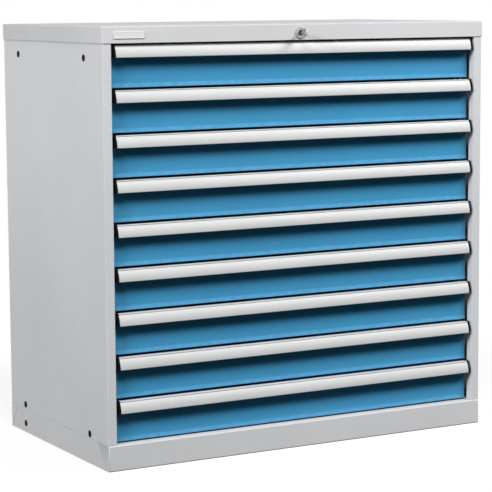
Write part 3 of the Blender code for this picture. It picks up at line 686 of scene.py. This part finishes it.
def strip_section(steps=20):
    outer = nosed(hood_points(HOOD_RADIUS, steps))
    inner = hood_points(HOOD_RADIUS - WALL, steps)
    x, z = outer[-1]
    top, foot = FRONT_HEIGHT - LEDGE_DROP, FRONT_HEIGHT - SEAT_DROP
    groove = [(x + GROOVE, z + GROOVE_LOW), (x + GROOVE, z + GROOVE_HIGH), (x, z + GROOVE_END)]
    band = [(x, top - BAND_EDGE), (x + BAND_STEP, top - BAND_STEP), (x + BAND_EDGE, top)]
    ledge = [(SEAT - LEDGE_EDGE, top), (SEAT - LEDGE_STEP, top - LEDGE_STEP), (SEAT, top - LEDGE_EDGE)]
    back = [(SEAT, foot), (SEAT - WALL, foot), (SEAT - WALL, top - WALL), (x + WALL, top - WALL)]
    return outer + groove + band + ledge + back + [(x + WALL, z - BAND_EDGE)] + list(reversed(inner))


END_CAP_WIDTH = 0.0053
CAP_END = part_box("drawer_1_handle")[1].x
STRIP_HALF = CAP_END - END_CAP_WIDTH
strip_mesh = smoothed(mesh_from(prism(strip_section(), "X", -STRIP_HALF, STRIP_HALF), "strip"), 25)
strip_mesh.transform(Matrix.Translation((0, FACE, 0)))
on_drawers("strip", strip_mesh, strip_metal, "handle")
print("strip", round(2 * STRIP_HALF, 4), "long")


# %% Mould the end caps
CAP_OVER = 0.0005
CAP_BEND = 0.0005
TOE_DEPTH, TOE_HEIGHT = 0.008, 0.006


def end_cap(side):
    """A plate that fills the space below the hood, with softened edges."""
    outer = hood_points(HOOD_RADIUS + CAP_OVER, 10)
    top = FRONT_HEIGHT + CAP_OVER
    toe = [(SEAT, HOOD_LOW + TOE_HEIGHT), (SEAT - TOE_DEPTH, HOOD_LOW)]
    outline = outer + [(outer[-1][0], top), (SEAT, top), *toe]
    start, end = sorted((side * STRIP_HALF, side * CAP_END))
    shape = prism(outline, "X", start, end)
    far = side * CAP_END
    round_edges(shape, lambda a, b: max(abs(a.x - far), abs(b.x - far)) < NEAR, CAP_BEND, 2)
    return mesh_from(shape, "end_cap")


caps = smoothed(together([end_cap(-1), end_cap(1)], "caps"), 40)
caps.transform(Matrix.Translation((0, FACE, 0)))
on_drawers("strip_ends", caps, black_plastic)
print("end caps", 2 * len(DRAWERS))

# %% [markdown]
# ## The trays
# Behind each front is a box of perforated sheet. Its front and side walls have upright slots every 17 mm,
# which take the dividers, and its floor has rows of larger slots. Its rear wall is plain, so that no light
# shows through it between the closed fronts. One small cell with its slot is drawn as a mesh. Geometry Nodes
# repeat it on a grid, weld the cells and set the paint, and the result is baked to a flat panel that is then
# stood up as a wall. A Boolean for each of 270 slots would be slow and would leave messy faces.

# %% Build a tree that repeats one cell
CELL_WELD = 0.00002


def new_tree(name, inputs):
    """An empty Geometry Nodes tree: its graph, its inputs as values, and their identifiers."""
    tree = bpy.data.node_groups.new(name, "GeometryNodeTree")
    identifiers = {}
    for label, kind in inputs.items():
        socket = tree.interface.new_socket(label, in_out="INPUT", socket_type=f"NodeSocket{kind}")
        identifiers[label] = socket.identifier
    tree.interface.new_socket("Result", in_out="OUTPUT", socket_type="NodeSocketGeometry")
    graph = Graph(tree)
    source = tree.nodes.new("NodeGroupInput")
    given = {label: Value(graph, source.outputs[label]) for label in inputs}
    return graph, given, identifiers


def end_painted(graph, geometry, paint):
    """Sets the material and ends the tree."""
    shown = graph.node("GeometryNodeSetMaterial", {}, {"Geometry": geometry, "Material": paint})
    graph.end("NodeGroupOutput", "Result", shown)


def repeat_tree():
    counts = {"Columns": "Int", "Rows": "Int"}
    pitches = {"Column Pitch": "Float", "Row Pitch": "Float"}
    inputs = {"Cell": "Geometry", **counts, **pitches, "Paint": "Material"}
    graph, given, identifiers = new_tree("repeat_cell", inputs)
    grid = graph.node("GeometryNodeMeshGrid", {}, {
        "Size X": (given["Columns"] - 1.0) * given["Column Pitch"],
        "Size Y": (given["Rows"] - 1.0) * given["Row Pitch"],
        "Vertices X": given["Columns"],
        "Vertices Y": given["Rows"],
    })
    copies = graph.node("GeometryNodeInstanceOnPoints", {}, {"Points": grid, "Instance": given["Cell"]})
    real = graph.node("GeometryNodeRealizeInstances", {}, {"Geometry": copies})
    welded = graph.node("GeometryNodeMergeByDistance", {}, {"Geometry": real, "Distance": CELL_WELD})
    end_painted(graph, welded, given["Paint"])
    return graph.tree, identifiers


repeat, repeat_sockets = repeat_tree()
print("tree", repeat.name, repeat_sockets)


# %% Draw a slotted cell
def slotted_cell(width, height, slot_width, slot_height, steps=3):
    """A flat rectangle about the origin with an upright slot whose ends are round."""
    shape = bmesh.new()
    radius = slot_width / 2
    reach = slot_height / 2 - radius
    top = [shape.verts.new((u, v, 0)) for u, v in arc(0, reach, radius, 0.0, math.pi, steps)]
    low = [shape.verts.new((u, v, 0)) for u, v in arc(0, -reach, radius, math.pi, math.pi, steps)]
    right, up = width / 2, height / 2
    edge = ((right, up), (-right, up), (-right, -up), (right, -up))
    corners = [shape.verts.new((u, v, 0)) for u, v in edge]
    shape.faces.new([corners[0], corners[1], *reversed(top)])
    shape.faces.new([corners[2], corners[3], *reversed(low)])
    shape.faces.new([corners[1], corners[2], low[0], top[-1]])
    shape.faces.new([corners[3], corners[0], top[0], low[-1]])
    return mesh_from(shape, "cell")


def panel(cell, columns, rows, column_pitch, row_pitch):
    """The cell repeated on a grid about the origin, with the sheet's thickness to both sides."""
    sizes = {"Columns": columns, "Rows": rows, "Column Pitch": column_pitch, "Row Pitch": row_pitch}
    values = {repeat_sockets[label]: size for label, size in sizes.items()}
    values[repeat_sockets["Paint"]] = tray_paint
    flat = baked(cell, ("NODES", {"node_group": repeat, **values}))
    return baked(flat, ("SOLIDIFY", {"thickness": SHEET, "offset": 0}))


# %% Read the tray's sizes
UNIT = 0.017
UNITS_WIDE, UNITS_DEEP = 54, 27
WALL_SLOT = (0.0026, 0.056)
FLOOR_SLOT = (0.005, 0.024)
FLOOR_UNITS = 3
tray_low, tray_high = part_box("drawer_1_tray")
TRAY_HALF = UNITS_WIDE * UNIT / 2 + SHEET
TRAY_INNER = TRAY_HALF - SHEET
TRAY_FRONT = tray_low.y
TRAY_REAR = TRAY_FRONT + UNITS_DEEP * UNIT + 2 * SHEET
TRAY_FLOOR = tray_low.z - base[1]
TRAY_TOP = tray_high.z - base[1]
WALL_HIGH = TRAY_TOP - TRAY_FLOOR
RIM = 0.006
RUNNER_OUTER = tray_high.x
RUNNER_MIDDLE = 0.040
RUNNER_HEIGHT = 0.0328
RUNNER_BEND = 0.0024
RUNNER_MARGIN = 0.004
LOCK_X = -0.0055
CATCH_LOW, CATCH_TOP = 0.0608, 0.0718
CATCH_REACH = 0.015
CATCH_HALF = 0.012
print("tray", round(2 * TRAY_HALF, 4), round(TRAY_REAR - TRAY_FRONT, 4), "wall", round(WALL_HIGH, 4))


# %% Stand the panels up as one tray
UPRIGHT = Matrix.Rotation(math.pi / 2, 4, "X")


def stood(mesh, turn, place):
    """A copy of a flat panel stood on edge, turned about Z and put in its place."""
    copy = mesh.copy()
    copy.transform(Matrix.Translation(place) @ Matrix.Rotation(turn, 4, "Z") @ UPRIGHT)
    return copy


def tray_walls():
    cell = slotted_cell(UNIT, WALL_HIGH, *WALL_SLOT)
    wide = panel(cell, UNITS_WIDE, 1, UNIT, WALL_HIGH)
    deep = panel(cell, UNITS_DEEP, 1, UNIT, WALL_HIGH)
    pitch = FLOOR_UNITS * UNIT
    columns, rows = UNITS_WIDE // FLOOR_UNITS, UNITS_DEEP // FLOOR_UNITS
    flat = panel(slotted_cell(pitch, pitch, *FLOOR_SLOT), columns, rows, pitch, pitch)
    middle_y, middle_z = (TRAY_FRONT + TRAY_REAR) / 2, (TRAY_FLOOR + TRAY_TOP) / 2
    side_x = TRAY_HALF - SHEET / 2
    rear = block((-TRAY_INNER, TRAY_REAR - SHEET, TRAY_FLOOR), (TRAY_INNER, TRAY_REAR, TRAY_TOP - SHEET))
    return [
        stood(wide, 0, (0, TRAY_FRONT + SHEET / 2, middle_z)),
        mesh_from(rear, "rear_wall"),
        stood(deep, math.pi / 2, (side_x, middle_y, middle_z)),
        stood(deep, math.pi / 2, (-side_x, middle_y, middle_z)),
        moved(flat, (0, middle_y, TRAY_FLOOR + SHEET / 2)),
    ]


def tray_rims():
    """The folded edge outwards along both sides and the back, and the four corner folds."""
    edge, rear = TRAY_HALF + RIM, TRAY_REAR + RIM
    strips = [block((-edge, TRAY_REAR - SHEET, TRAY_TOP - SHEET), (edge, rear, TRAY_TOP))]
    for side in (-1, 1):
        inner, outer = sorted((side * TRAY_INNER, side * edge))
        strips.append(block((inner, TRAY_FRONT, TRAY_TOP - SHEET), (outer, TRAY_REAR - SHEET, TRAY_TOP)))
        inner, outer = sorted((side * TRAY_INNER, side * TRAY_HALF))
        for start, end in ((TRAY_FRONT, TRAY_FRONT + SHEET), (TRAY_REAR - SHEET, TRAY_REAR)):
            strips.append(block((inner, start, TRAY_FLOOR), (outer, end, TRAY_TOP - SHEET)))
    return [mesh_from(strip, "rim") for strip in strips]


def tray_catch():
    """The bracket behind the tray that the lock bar's claw drops in front of."""
    start, rear, low, top = TRAY_REAR - WELD, TRAY_REAR + CATCH_REACH, CATCH_LOW, CATCH_TOP
    outline = [(start, low), (rear, low), (rear, top), (rear - SHEET, top), (rear - SHEET, low + SHEET)]
    outline.append((start, low + SHEET))
    return mesh_from(prism(outline, "X", LOCK_X - CATCH_HALF, LOCK_X + CATCH_HALF), "catch")


def runner(side):
    """A U-section on its side along the tray, whose web stands outermost."""
    inner = TRAY_HALF - WELD
    high, low = RUNNER_MIDDLE + RUNNER_HEIGHT / 2, RUNNER_MIDDLE - RUNNER_HEIGHT / 2
    path = [(inner, high), (RUNNER_OUTER, high), (RUNNER_OUTER, low), (inner, low)]
    outline = [(side * x, z) for x, z in folded(path, RUNNER_BEND, 3)]
    return mesh_from(prism(outline, "Y", TRAY_FRONT + RUNNER_MARGIN, TRAY_REAR - RUNNER_MARGIN), "runner")


tray_parts = tray_walls() + tray_rims() + [tray_catch(), runner(-1), runner(1)]
tray_mesh = smoothed(together(tray_parts, "tray"), 50)
on_drawers("box", tray_mesh, tray_paint, "tray")
print("one tray", len(tray_mesh.polygons), "faces")

# %% [markdown]
# ## Small round things in rows
# Rivet heads and hole plugs are one turned head each, put on a list of points by a second tree. Its inputs
# are the head, its radius and its height, and a seed that turns each copy a little, so that no two catch the
# light in the same way. A head is turned by spinning half of its section about an axis.

# %% Turn a section on an axis
def turned(profile, steps=32):
    """A section of (radius, height) pairs, from the axis out and back to it, spun about Z."""
    shape = bmesh.new()
    points = [shape.verts.new((radius, 0, height)) for radius, height in profile]
    lines = [shape.edges.new(pair) for pair in zip(points, points[1:])]
    if profile[0][0] > 0:
        lines.append(shape.edges.new((points[-1], points[0])))
    spin = {"cent": (0, 0, 0), "axis": (0, 0, 1), "angle": 2 * math.pi, "steps": steps, "use_merge": True}
    bmesh.ops.spin(shape, geom=points + lines, **spin)
    bmesh.ops.remove_doubles(shape, verts=shape.verts, dist=NEAR)
    bmesh.ops.recalc_face_normals(shape, faces=shape.faces)
    return mesh_from(shape, "turned")


# %% Build a tree that sets heads on points
def heads_tree():
    inputs = {"Places": "Geometry", "Head": "Object", "Radius": "Float", "Rise": "Float", "Seed": "Int"}
    graph, given, identifiers = new_tree("heads_on_points", {**inputs, "Paint": "Material"})
    head = graph.node("GeometryNodeObjectInfo", {}, {"Object": given["Head"]}, "Geometry")
    settings = {"data_type": "FLOAT"}
    chance = graph.node("FunctionNodeRandomValue", settings, {"Seed": given["Seed"]}, "Value_001")
    angles = graph.node("ShaderNodeCombineXYZ", {}, {"Z": chance * (2 * math.pi)})
    size = {"X": given["Radius"], "Y": given["Radius"], "Z": given["Rise"]}
    copies = graph.node("GeometryNodeInstanceOnPoints", {}, {
        "Points": given["Places"],
        "Instance": head,
        "Rotation": graph.node("FunctionNodeEulerToRotation", {}, {0: angles}),
        "Scale": graph.node("ShaderNodeCombineXYZ", {}, size),
    })
    real = graph.node("GeometryNodeRealizeInstances", {}, {"Geometry": copies})
    end_painted(graph, real, given["Paint"])
    return graph.tree, identifiers


heads, heads_sockets = heads_tree()


def heads_on(places, facing, head, radius, rise, finish, seed):
    """Copies of a turned head at places in the object's frame, each standing up along facing."""
    turn = Vector((0, 0, 1)).rotation_difference(Vector(facing)).to_matrix().to_4x4()
    points = bpy.data.meshes.new("places")
    points.from_pydata([turn.inverted() @ Vector(place) for place in places], [], [])
    model = in_scene("head", head)
    given = {"Head": model, "Radius": radius, "Rise": rise, "Seed": seed, "Paint": finish}
    values = {heads_sockets[label]: value for label, value in given.items()}
    made = baked(points, ("NODES", {"node_group": heads, **values}))
    made.transform(turn)
    bpy.data.objects.remove(model, do_unlink=True)
    return made


print("tree", heads.name, heads_sockets)

# %% Close the holes in the sides with plugs
PLUG_RADIUS, PLUG_RISE = 0.0083, 0.0012
PLUG_DEPTHS = (0.101, 0.480)
PLUG_HEIGHTS = (0.070, 0.929)
FOOT_PLUG = (0.480, 0.023)
PLUG_SEED = 3
plug_profile = [(0, 1), (0.45, 0.99), (0.72, 0.94), (0.88, 0.80), (0.96, 0.52), (1.0, 0.12), (1.0, 0), (0, 0)]
plug_head = turned(plug_profile, 24)
plug_places = [(depth, height) for depth in PLUG_DEPTHS for height in PLUG_HEIGHTS] + [FOOT_PLUG]
plugs = []
for side in (-1, 1):
    places = [(side * SIDE_OUTER, FACE + depth, height) for depth, height in plug_places]
    facing, seed = (side, 0, 0), PLUG_SEED + side
    plugs.append(heads_on(places, facing, plug_head, PLUG_RADIUS, PLUG_RISE, black_plastic, seed))
piece("side_plugs", smoothed(together(plugs, "plugs"), 40), black_plastic, "cabinet")
print("plugs", sum(len(mesh.polygons) for mesh in plugs), "faces")

# %% Rivet the back and the runners
BACK_RIVET = (0.0033, 0.0011)
ROW_INSET, ROW_START, ROW_PITCH, ROW_COUNT = 0.011, 0.11, 0.135, 7
BACK_SEED, TRAY_SEED = 11, 17
TRAY_RIVET = (0.0032, 0.0012)
TRAY_RIVET_UNITS = (2, 9, 18, 25)
rivet_profile = [(0, 1), (0.35, 0.94), (0.66, 0.74), (0.88, 0.40), (1.0, 0), (0, 0)]
rivet_head = turned(rivet_profile, 16)
back_rows = [
    (side * (SIDE_OUTER - ROW_INSET), side_high.y, ROW_START + ROW_PITCH * i)
    for side in (-1, 1)
    for i in range(ROW_COUNT)
]
back_rivets = heads_on(back_rows, (0, 1, 0), rivet_head, *BACK_RIVET, grey_paint, BACK_SEED)
piece("back_rivets", smoothed(back_rivets, 60), grey_paint, "cabinet")
tray_rivets = []
for side in (-1, 1):
    row = [(side * TRAY_INNER, TRAY_FRONT + SHEET + k * UNIT, RUNNER_MIDDLE) for k in TRAY_RIVET_UNITS]
    tray_rivets.append(heads_on(row, (-side, 0, 0), rivet_head, *TRAY_RIVET, zinc, TRAY_SEED + side))
rivets_mesh = smoothed(together(tray_rivets, "tray_rivets"), 60)
on_drawers("rivets", rivets_mesh, zinc)
print("rivets", len(back_rows), "at the back and", 2 * len(TRAY_RIVET_UNITS) * len(DRAWERS), "in the trays")

# %% [markdown]
# ## Slides, racks, back and lock bar
# These nodes already have the shape of the real parts, folds and perforations included. A CAD node is made of
# loose triangles, so a copy of each is welded, given soft shading over its folds, and finished in zinc or
# paint. The copy takes the node's place, and the node stays, hidden.

# %% Weld and shade copies of the CAD nodes
def welded_copy(name):
    shape = bmesh.new()
    shape.from_mesh(nodes[name].data)
    bmesh.ops.remove_doubles(shape, verts=shape.verts, dist=NEAR)
    bmesh.ops.dissolve_limit(shape, angle_limit=math.radians(0.5), verts=shape.verts, edges=shape.edges)
    return smoothed(mesh_from(shape, name), 50)


for name in ("left_rail_rack", "right_rail_rack"):
    piece(f"{name}_steel", welded_copy(name), zinc, "cabinet", [name])
piece("back_sheet", welded_copy("back_panel"), grey_paint, "cabinet", ["back_panel"])
for n in DRAWERS:
    for hand in ("left", "right"):
        name = f"slide_{n}_{hand}_member"
        piece(f"slide_{n}_{hand}_steel", welded_copy(name), zinc, f"slides_{n}", [name])
piece("lock_bar_steel", welded_copy("lock_bar"), zinc, "locking_bar", ["lock_bar"])
# The core's dark colour is painted shade.
piece("lock_core", welded_copy("lock_plug"), shaded_core_metal, "lock_core", ["lock_plug"])
print("welded", len(nodes["left_rail_rack"].data.polygons), "triangles of a rack")

# %% [markdown]
# ## The lock and its key
# The rosette is a turned ring with a shallow dish round the core. The key's bow is a flat disc with a hole
# for a ring, and its edges are broken. It stands upright in the lock, as in the photograph.

# %% Turn the rosette
housing_low, housing_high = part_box("lock_housing")
LOCK_Z = (housing_low.z + housing_high.z) / 2
ROSETTE = (housing_high.z - housing_low.z) / 2
BORE, TUBE, TUBE_DEPTH = 0.0067, 0.0095, 0.024
COLLAR, DISH, CREST = 0.0026, 0.0021, 0.0028
at_lock = Matrix.Translation((LOCK_X, FACE, LOCK_Z))
rosette_profile = [
    (BORE, COLLAR),
    (0.0078, COLLAR),
    (0.0084, DISH),
    (0.0096, DISH),
    (0.0102, CREST),
    (ROSETTE - 0.0011, CREST),
    (ROSETTE - 0.0005, 0.0026),
    (ROSETTE - 0.0001, 0.0021),
    (ROSETTE, 0.0015),
    (ROSETTE, GAP),
    (TUBE, GAP),
    (TUBE, -TUBE_DEPTH),
    (BORE, -TUBE_DEPTH),
]
rosette = turned(rosette_profile, 64)
rosette.transform(at_lock @ UPRIGHT)
piece("lock_rosette", smoothed(rosette, 30), nickel, "cabinet", ["lock_housing"])
print("rosette radius", round(ROSETTE, 5), "at height", round(LOCK_Z, 4))


# %% Cut the key
BOW, BOW_REACH, BOW_STEPS = 0.0095, 0.030, 40
NECK, NECK_END = 0.0030, -0.0036
BLADE, BLADE_START = 0.0028, -0.0034
BLADE_TIP = ((0.0170, -BLADE), (0.0174, 0.0), (0.0160, BLADE))
TEETH, FIRST_TOOTH, TOOTH_PITCH = 4, 0.0150, 0.0040
TOOTH, TOOTH_DEPTH = 0.0010, 0.0012
KEY_HALF = 0.0010
KEY_EDGE = 0.00025
HOLE, HOLE_PLACE, HOLE_STEPS = 0.0027, -0.0250, 24
HOLE_HALF = 0.004


def key_shape():
    """Bow, neck and blade drawn side on: each point is its depth behind the fascia and its height."""
    spread = math.asin(NECK / BOW)
    outline = arc(BOW - BOW_REACH, 0, BOW, spread, 2 * (math.pi - spread), BOW_STEPS)
    outline += [(NECK_END, -NECK), (BLADE_START, -BLADE), *BLADE_TIP]
    for i in range(TEETH):
        start = FIRST_TOOTH - TOOTH_PITCH * i
        outline += [(start, BLADE), (start - TOOTH, BLADE - TOOTH_DEPTH), (start - 2 * TOOTH, BLADE)]
    outline += [(BLADE_START, BLADE), (NECK_END, NECK)]
    return prism(outline, "X", -KEY_HALF, KEY_HALF)


def key_hole():
    circle = arc(HOLE_PLACE, 0, HOLE, 0.0, 2 * math.pi, HOLE_STEPS)[:-1]
    return prism(circle, "X", -HOLE_HALF, HOLE_HALF)


cutter = in_scene("hole", mesh_from(key_hole(), "hole"))
key_mesh = baked(
    mesh_from(key_shape(), "key"),
    ("BOOLEAN", {"operation": "DIFFERENCE", "solver": "EXACT", "object": cutter}),
    ("BEVEL", {"width": KEY_EDGE, "segments": 2, "limit_method": "ANGLE", "angle_limit": math.radians(50)}),
)
bpy.data.objects.remove(cutter, do_unlink=True)
key_mesh.transform(at_lock)
piece("lock_key", smoothed(key_mesh, 40), nickel, "lock_core", ["key"])


# %% [markdown]
# ## The plate on the fascia
# A small blank plate is fixed near the left end of the fascia. Its corners are round, its rim is broken, and
# a shallow field is pressed inside the rim.

# %% Press the plate
PLATE_RAISE, PLATE_CUT = 0.0006, 0.0024
PLATE_CORNER, CORNER_STEPS = 0.002, 5
PLATE_EDGE = 0.0003
PLATE_RIM = 0.0009


def blank_plate():
    low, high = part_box("name_plate")
    low.z, high.z = low.z + PLATE_RAISE, high.z - PLATE_CUT
    left, right = low.x + PLATE_CORNER, high.x - PLATE_CORNER
    foot, top = low.z + PLATE_CORNER, high.z - PLATE_CORNER
    quarter = math.pi / 2
    outline = []
    for number, (x, z) in enumerate(((right, top), (left, top), (left, foot), (right, foot))):
        outline += arc(x, z, PLATE_CORNER, number * quarter, quarter, CORNER_STEPS)
    shape = prism(outline, "Y", low.y, high.y)
    front = faces_towards(shape, FORWARD)
    for width, depth in ((PLATE_EDGE, 0), (PLATE_RIM, 0), (PLATE_EDGE, -PLATE_EDGE)):
        bmesh.ops.inset_region(shape, faces=front, thickness=width, depth=depth)
    for corner in shape.verts:
        sideways = [face for face in corner.link_faces if face.normal.y > -FACING_SHARE]
        if sideways and corner.co.y < low.y + NEAR:
            corner.co.y += PLATE_EDGE
    return mesh_from(shape, "plate")


plate = piece("plate", smoothed(blank_plate(), 30), plate_metal, "cabinet", ["name_plate"])
print("plate", len(plate.data.polygons), "faces")

# %% [markdown]
# ## Studio
# The floor is pale and plain. For the camera, and in metal, it shows as nearly white with the cabinet's own
# shadow on it, while for diffuse light it is darker, because the photograph's studio throws little light up
# under the handles. A long softbox hangs high in front and leaves the band below each hood in shadow. One far
# to the left and one near on the right light the front at a slant, so that the posts shade the ends of the
# drawers a little. Two weak boxes keep the right side and the back readable. No lamp shows in the picture.

# %% Lay the floor
WHITE = (1.0, 1.0, 1.0)
FLOOR_HALF = 60.0


def seen_directly(graph):
    """1 for what the camera, a reflection or glass sees, and 0 for diffuse light."""
    kinds = ("Is Camera Ray", "Is Glossy Ray", "Is Transmission Ray")
    seen, mirrored, through = (graph.node("ShaderNodeLightPath", {}, {}, kind) for kind in kinds)
    return seen.maths("MAXIMUM", mirrored).maths("MAXIMUM", through)


def floor_finish():
    """A floor that glows a little near the cabinet and more further off."""
    finish = Finish("studio_floor")
    place = finish.node("ShaderNodeTexCoord", {}, {}, "Object")
    away = finish.node("ShaderNodeVectorMath", {"operation": "LENGTH"}, {0: place}, "Value")
    far = finish.ramp(away, low=0.8, high=2.2)
    lit = finish.node("ShaderNodeBsdfDiffuse", {}, {"Color": (0.94, 0.94, 0.94)})
    glow = finish.node("ShaderNodeEmission", {}, {"Color": WHITE, "Strength": 1.0})
    shown = finish.node("ShaderNodeMixShader", {}, {0: far * 0.28 + 0.72, 1: lit, 2: glow})
    bounce = finish.node("ShaderNodeBsdfDiffuse", {}, {"Color": (0.03, 0.03, 0.03)})
    whole = finish.node("ShaderNodeMixShader", {}, {0: seen_directly(finish), 1: bounce, 2: shown})
    finish.end("ShaderNodeOutputMaterial", "Surface", whole)
    finish.tree.nodes.remove(finish.shader)
    return finish.material


floor_shape = bmesh.new()
bmesh.ops.create_grid(floor_shape, x_segments=8, y_segments=8, size=FLOOR_HALF)
floor = in_scene("studio_floor", mesh_from(floor_shape, "studio_floor"))
floor.data.materials.append(floor_finish())
print("floor", floor.name)


# %% Light it
def studio_world(fill):
    """White where it is seen directly, and nearly dark as a light on the cabinet."""
    world = bpy.data.worlds.new("studio")
    world.use_nodes = True
    sky = Graph(world.node_tree)
    background = sky.tree.nodes["Background"]
    sky.fill(background, {"Color": WHITE, "Strength": 1.0})
    bright = Value(sky, background.outputs[0])
    dim = sky.node("ShaderNodeBackground", {}, {"Color": WHITE, "Strength": fill})
    whole = sky.node("ShaderNodeMixShader", {}, {0: seen_directly(sky), 1: dim, 2: bright})
    sky.end("ShaderNodeOutputWorld", "Surface", whole)
    bpy.context.scene.world = world


def softbox(name, place, aim, width, height, watts):
    lamp = bpy.data.lights.new(name, "AREA")
    lamp.shape = "RECTANGLE"
    lamp.size = width
    lamp.size_y = height
    lamp.energy = watts
    made = in_scene(name, lamp)
    made.location = place
    made.rotation_euler = (Vector(aim) - Vector(place)).to_track_quat("-Z", "Y").to_euler()
    made.visible_camera = False


MIDDLE = (0.0, -0.1, 0.5)
studio_world(fill=0.01)
softbox("above_front", (-2.6, -4.0, 7.0), MIDDLE, width=4.2, height=0.8, watts=410.0)
softbox("left_front", (-6.9, -2.7, 3.6), MIDDLE, width=2.2, height=1.2, watts=370.0)
softbox("right_front", (2.9, -2.4, 3.6), MIDDLE, width=2.1, height=0.8, watts=190.0)
softbox("right", (3.6, 1.6, 0.6), (0.5, 0.2, 0.5), width=2.0, height=0.9, watts=26.0)
softbox("back", (0.0, 3.8, 0.6), (0.0, 0.3, 0.5), width=3.0, height=0.9, watts=90.0)
print("lamps", [lamp.name for lamp in bpy.data.lights])

# %% [markdown]
# ## Camera
# The camera stands left of the cabinet, a little above its top, and was solved from the straight edges in the
# photograph with the cabinet's real size. Its three axes come from a turn, a tilt and a slight roll.

# %% Place the camera
YAW, PITCH, ROLL = math.radians(29.069), math.radians(-7.33), math.radians(-0.379)
LENS_PIXELS, PHOTO_WIDTH = 1942.742, 492
SENSOR = 36.0
forward = Vector((math.sin(YAW) * math.cos(PITCH), math.cos(YAW) * math.cos(PITCH), math.sin(PITCH)))
level = Vector((math.cos(YAW), -math.sin(YAW), 0))
upward = level.cross(forward)
right = level * math.cos(ROLL) + upward * math.sin(ROLL)
up = upward * math.cos(ROLL) - level * math.sin(ROLL)
camera = in_scene("camera", bpy.data.cameras.new("camera"))
camera.data.sensor_width = SENSOR
camera.data.lens = SENSOR * LENS_PIXELS / PHOTO_WIDTH
camera.data.clip_end = 200.0
spot = Vector((-2.3155, -4.1609, 1.0637))
axes = Matrix((right, up, -forward)).transposed().to_4x4()
camera.matrix_world = Matrix.Translation(spot) @ axes
bpy.context.scene.camera = camera
bpy.context.scene.view_settings.view_transform = "Standard"
print("lens", round(camera.data.lens, 2), "mm")
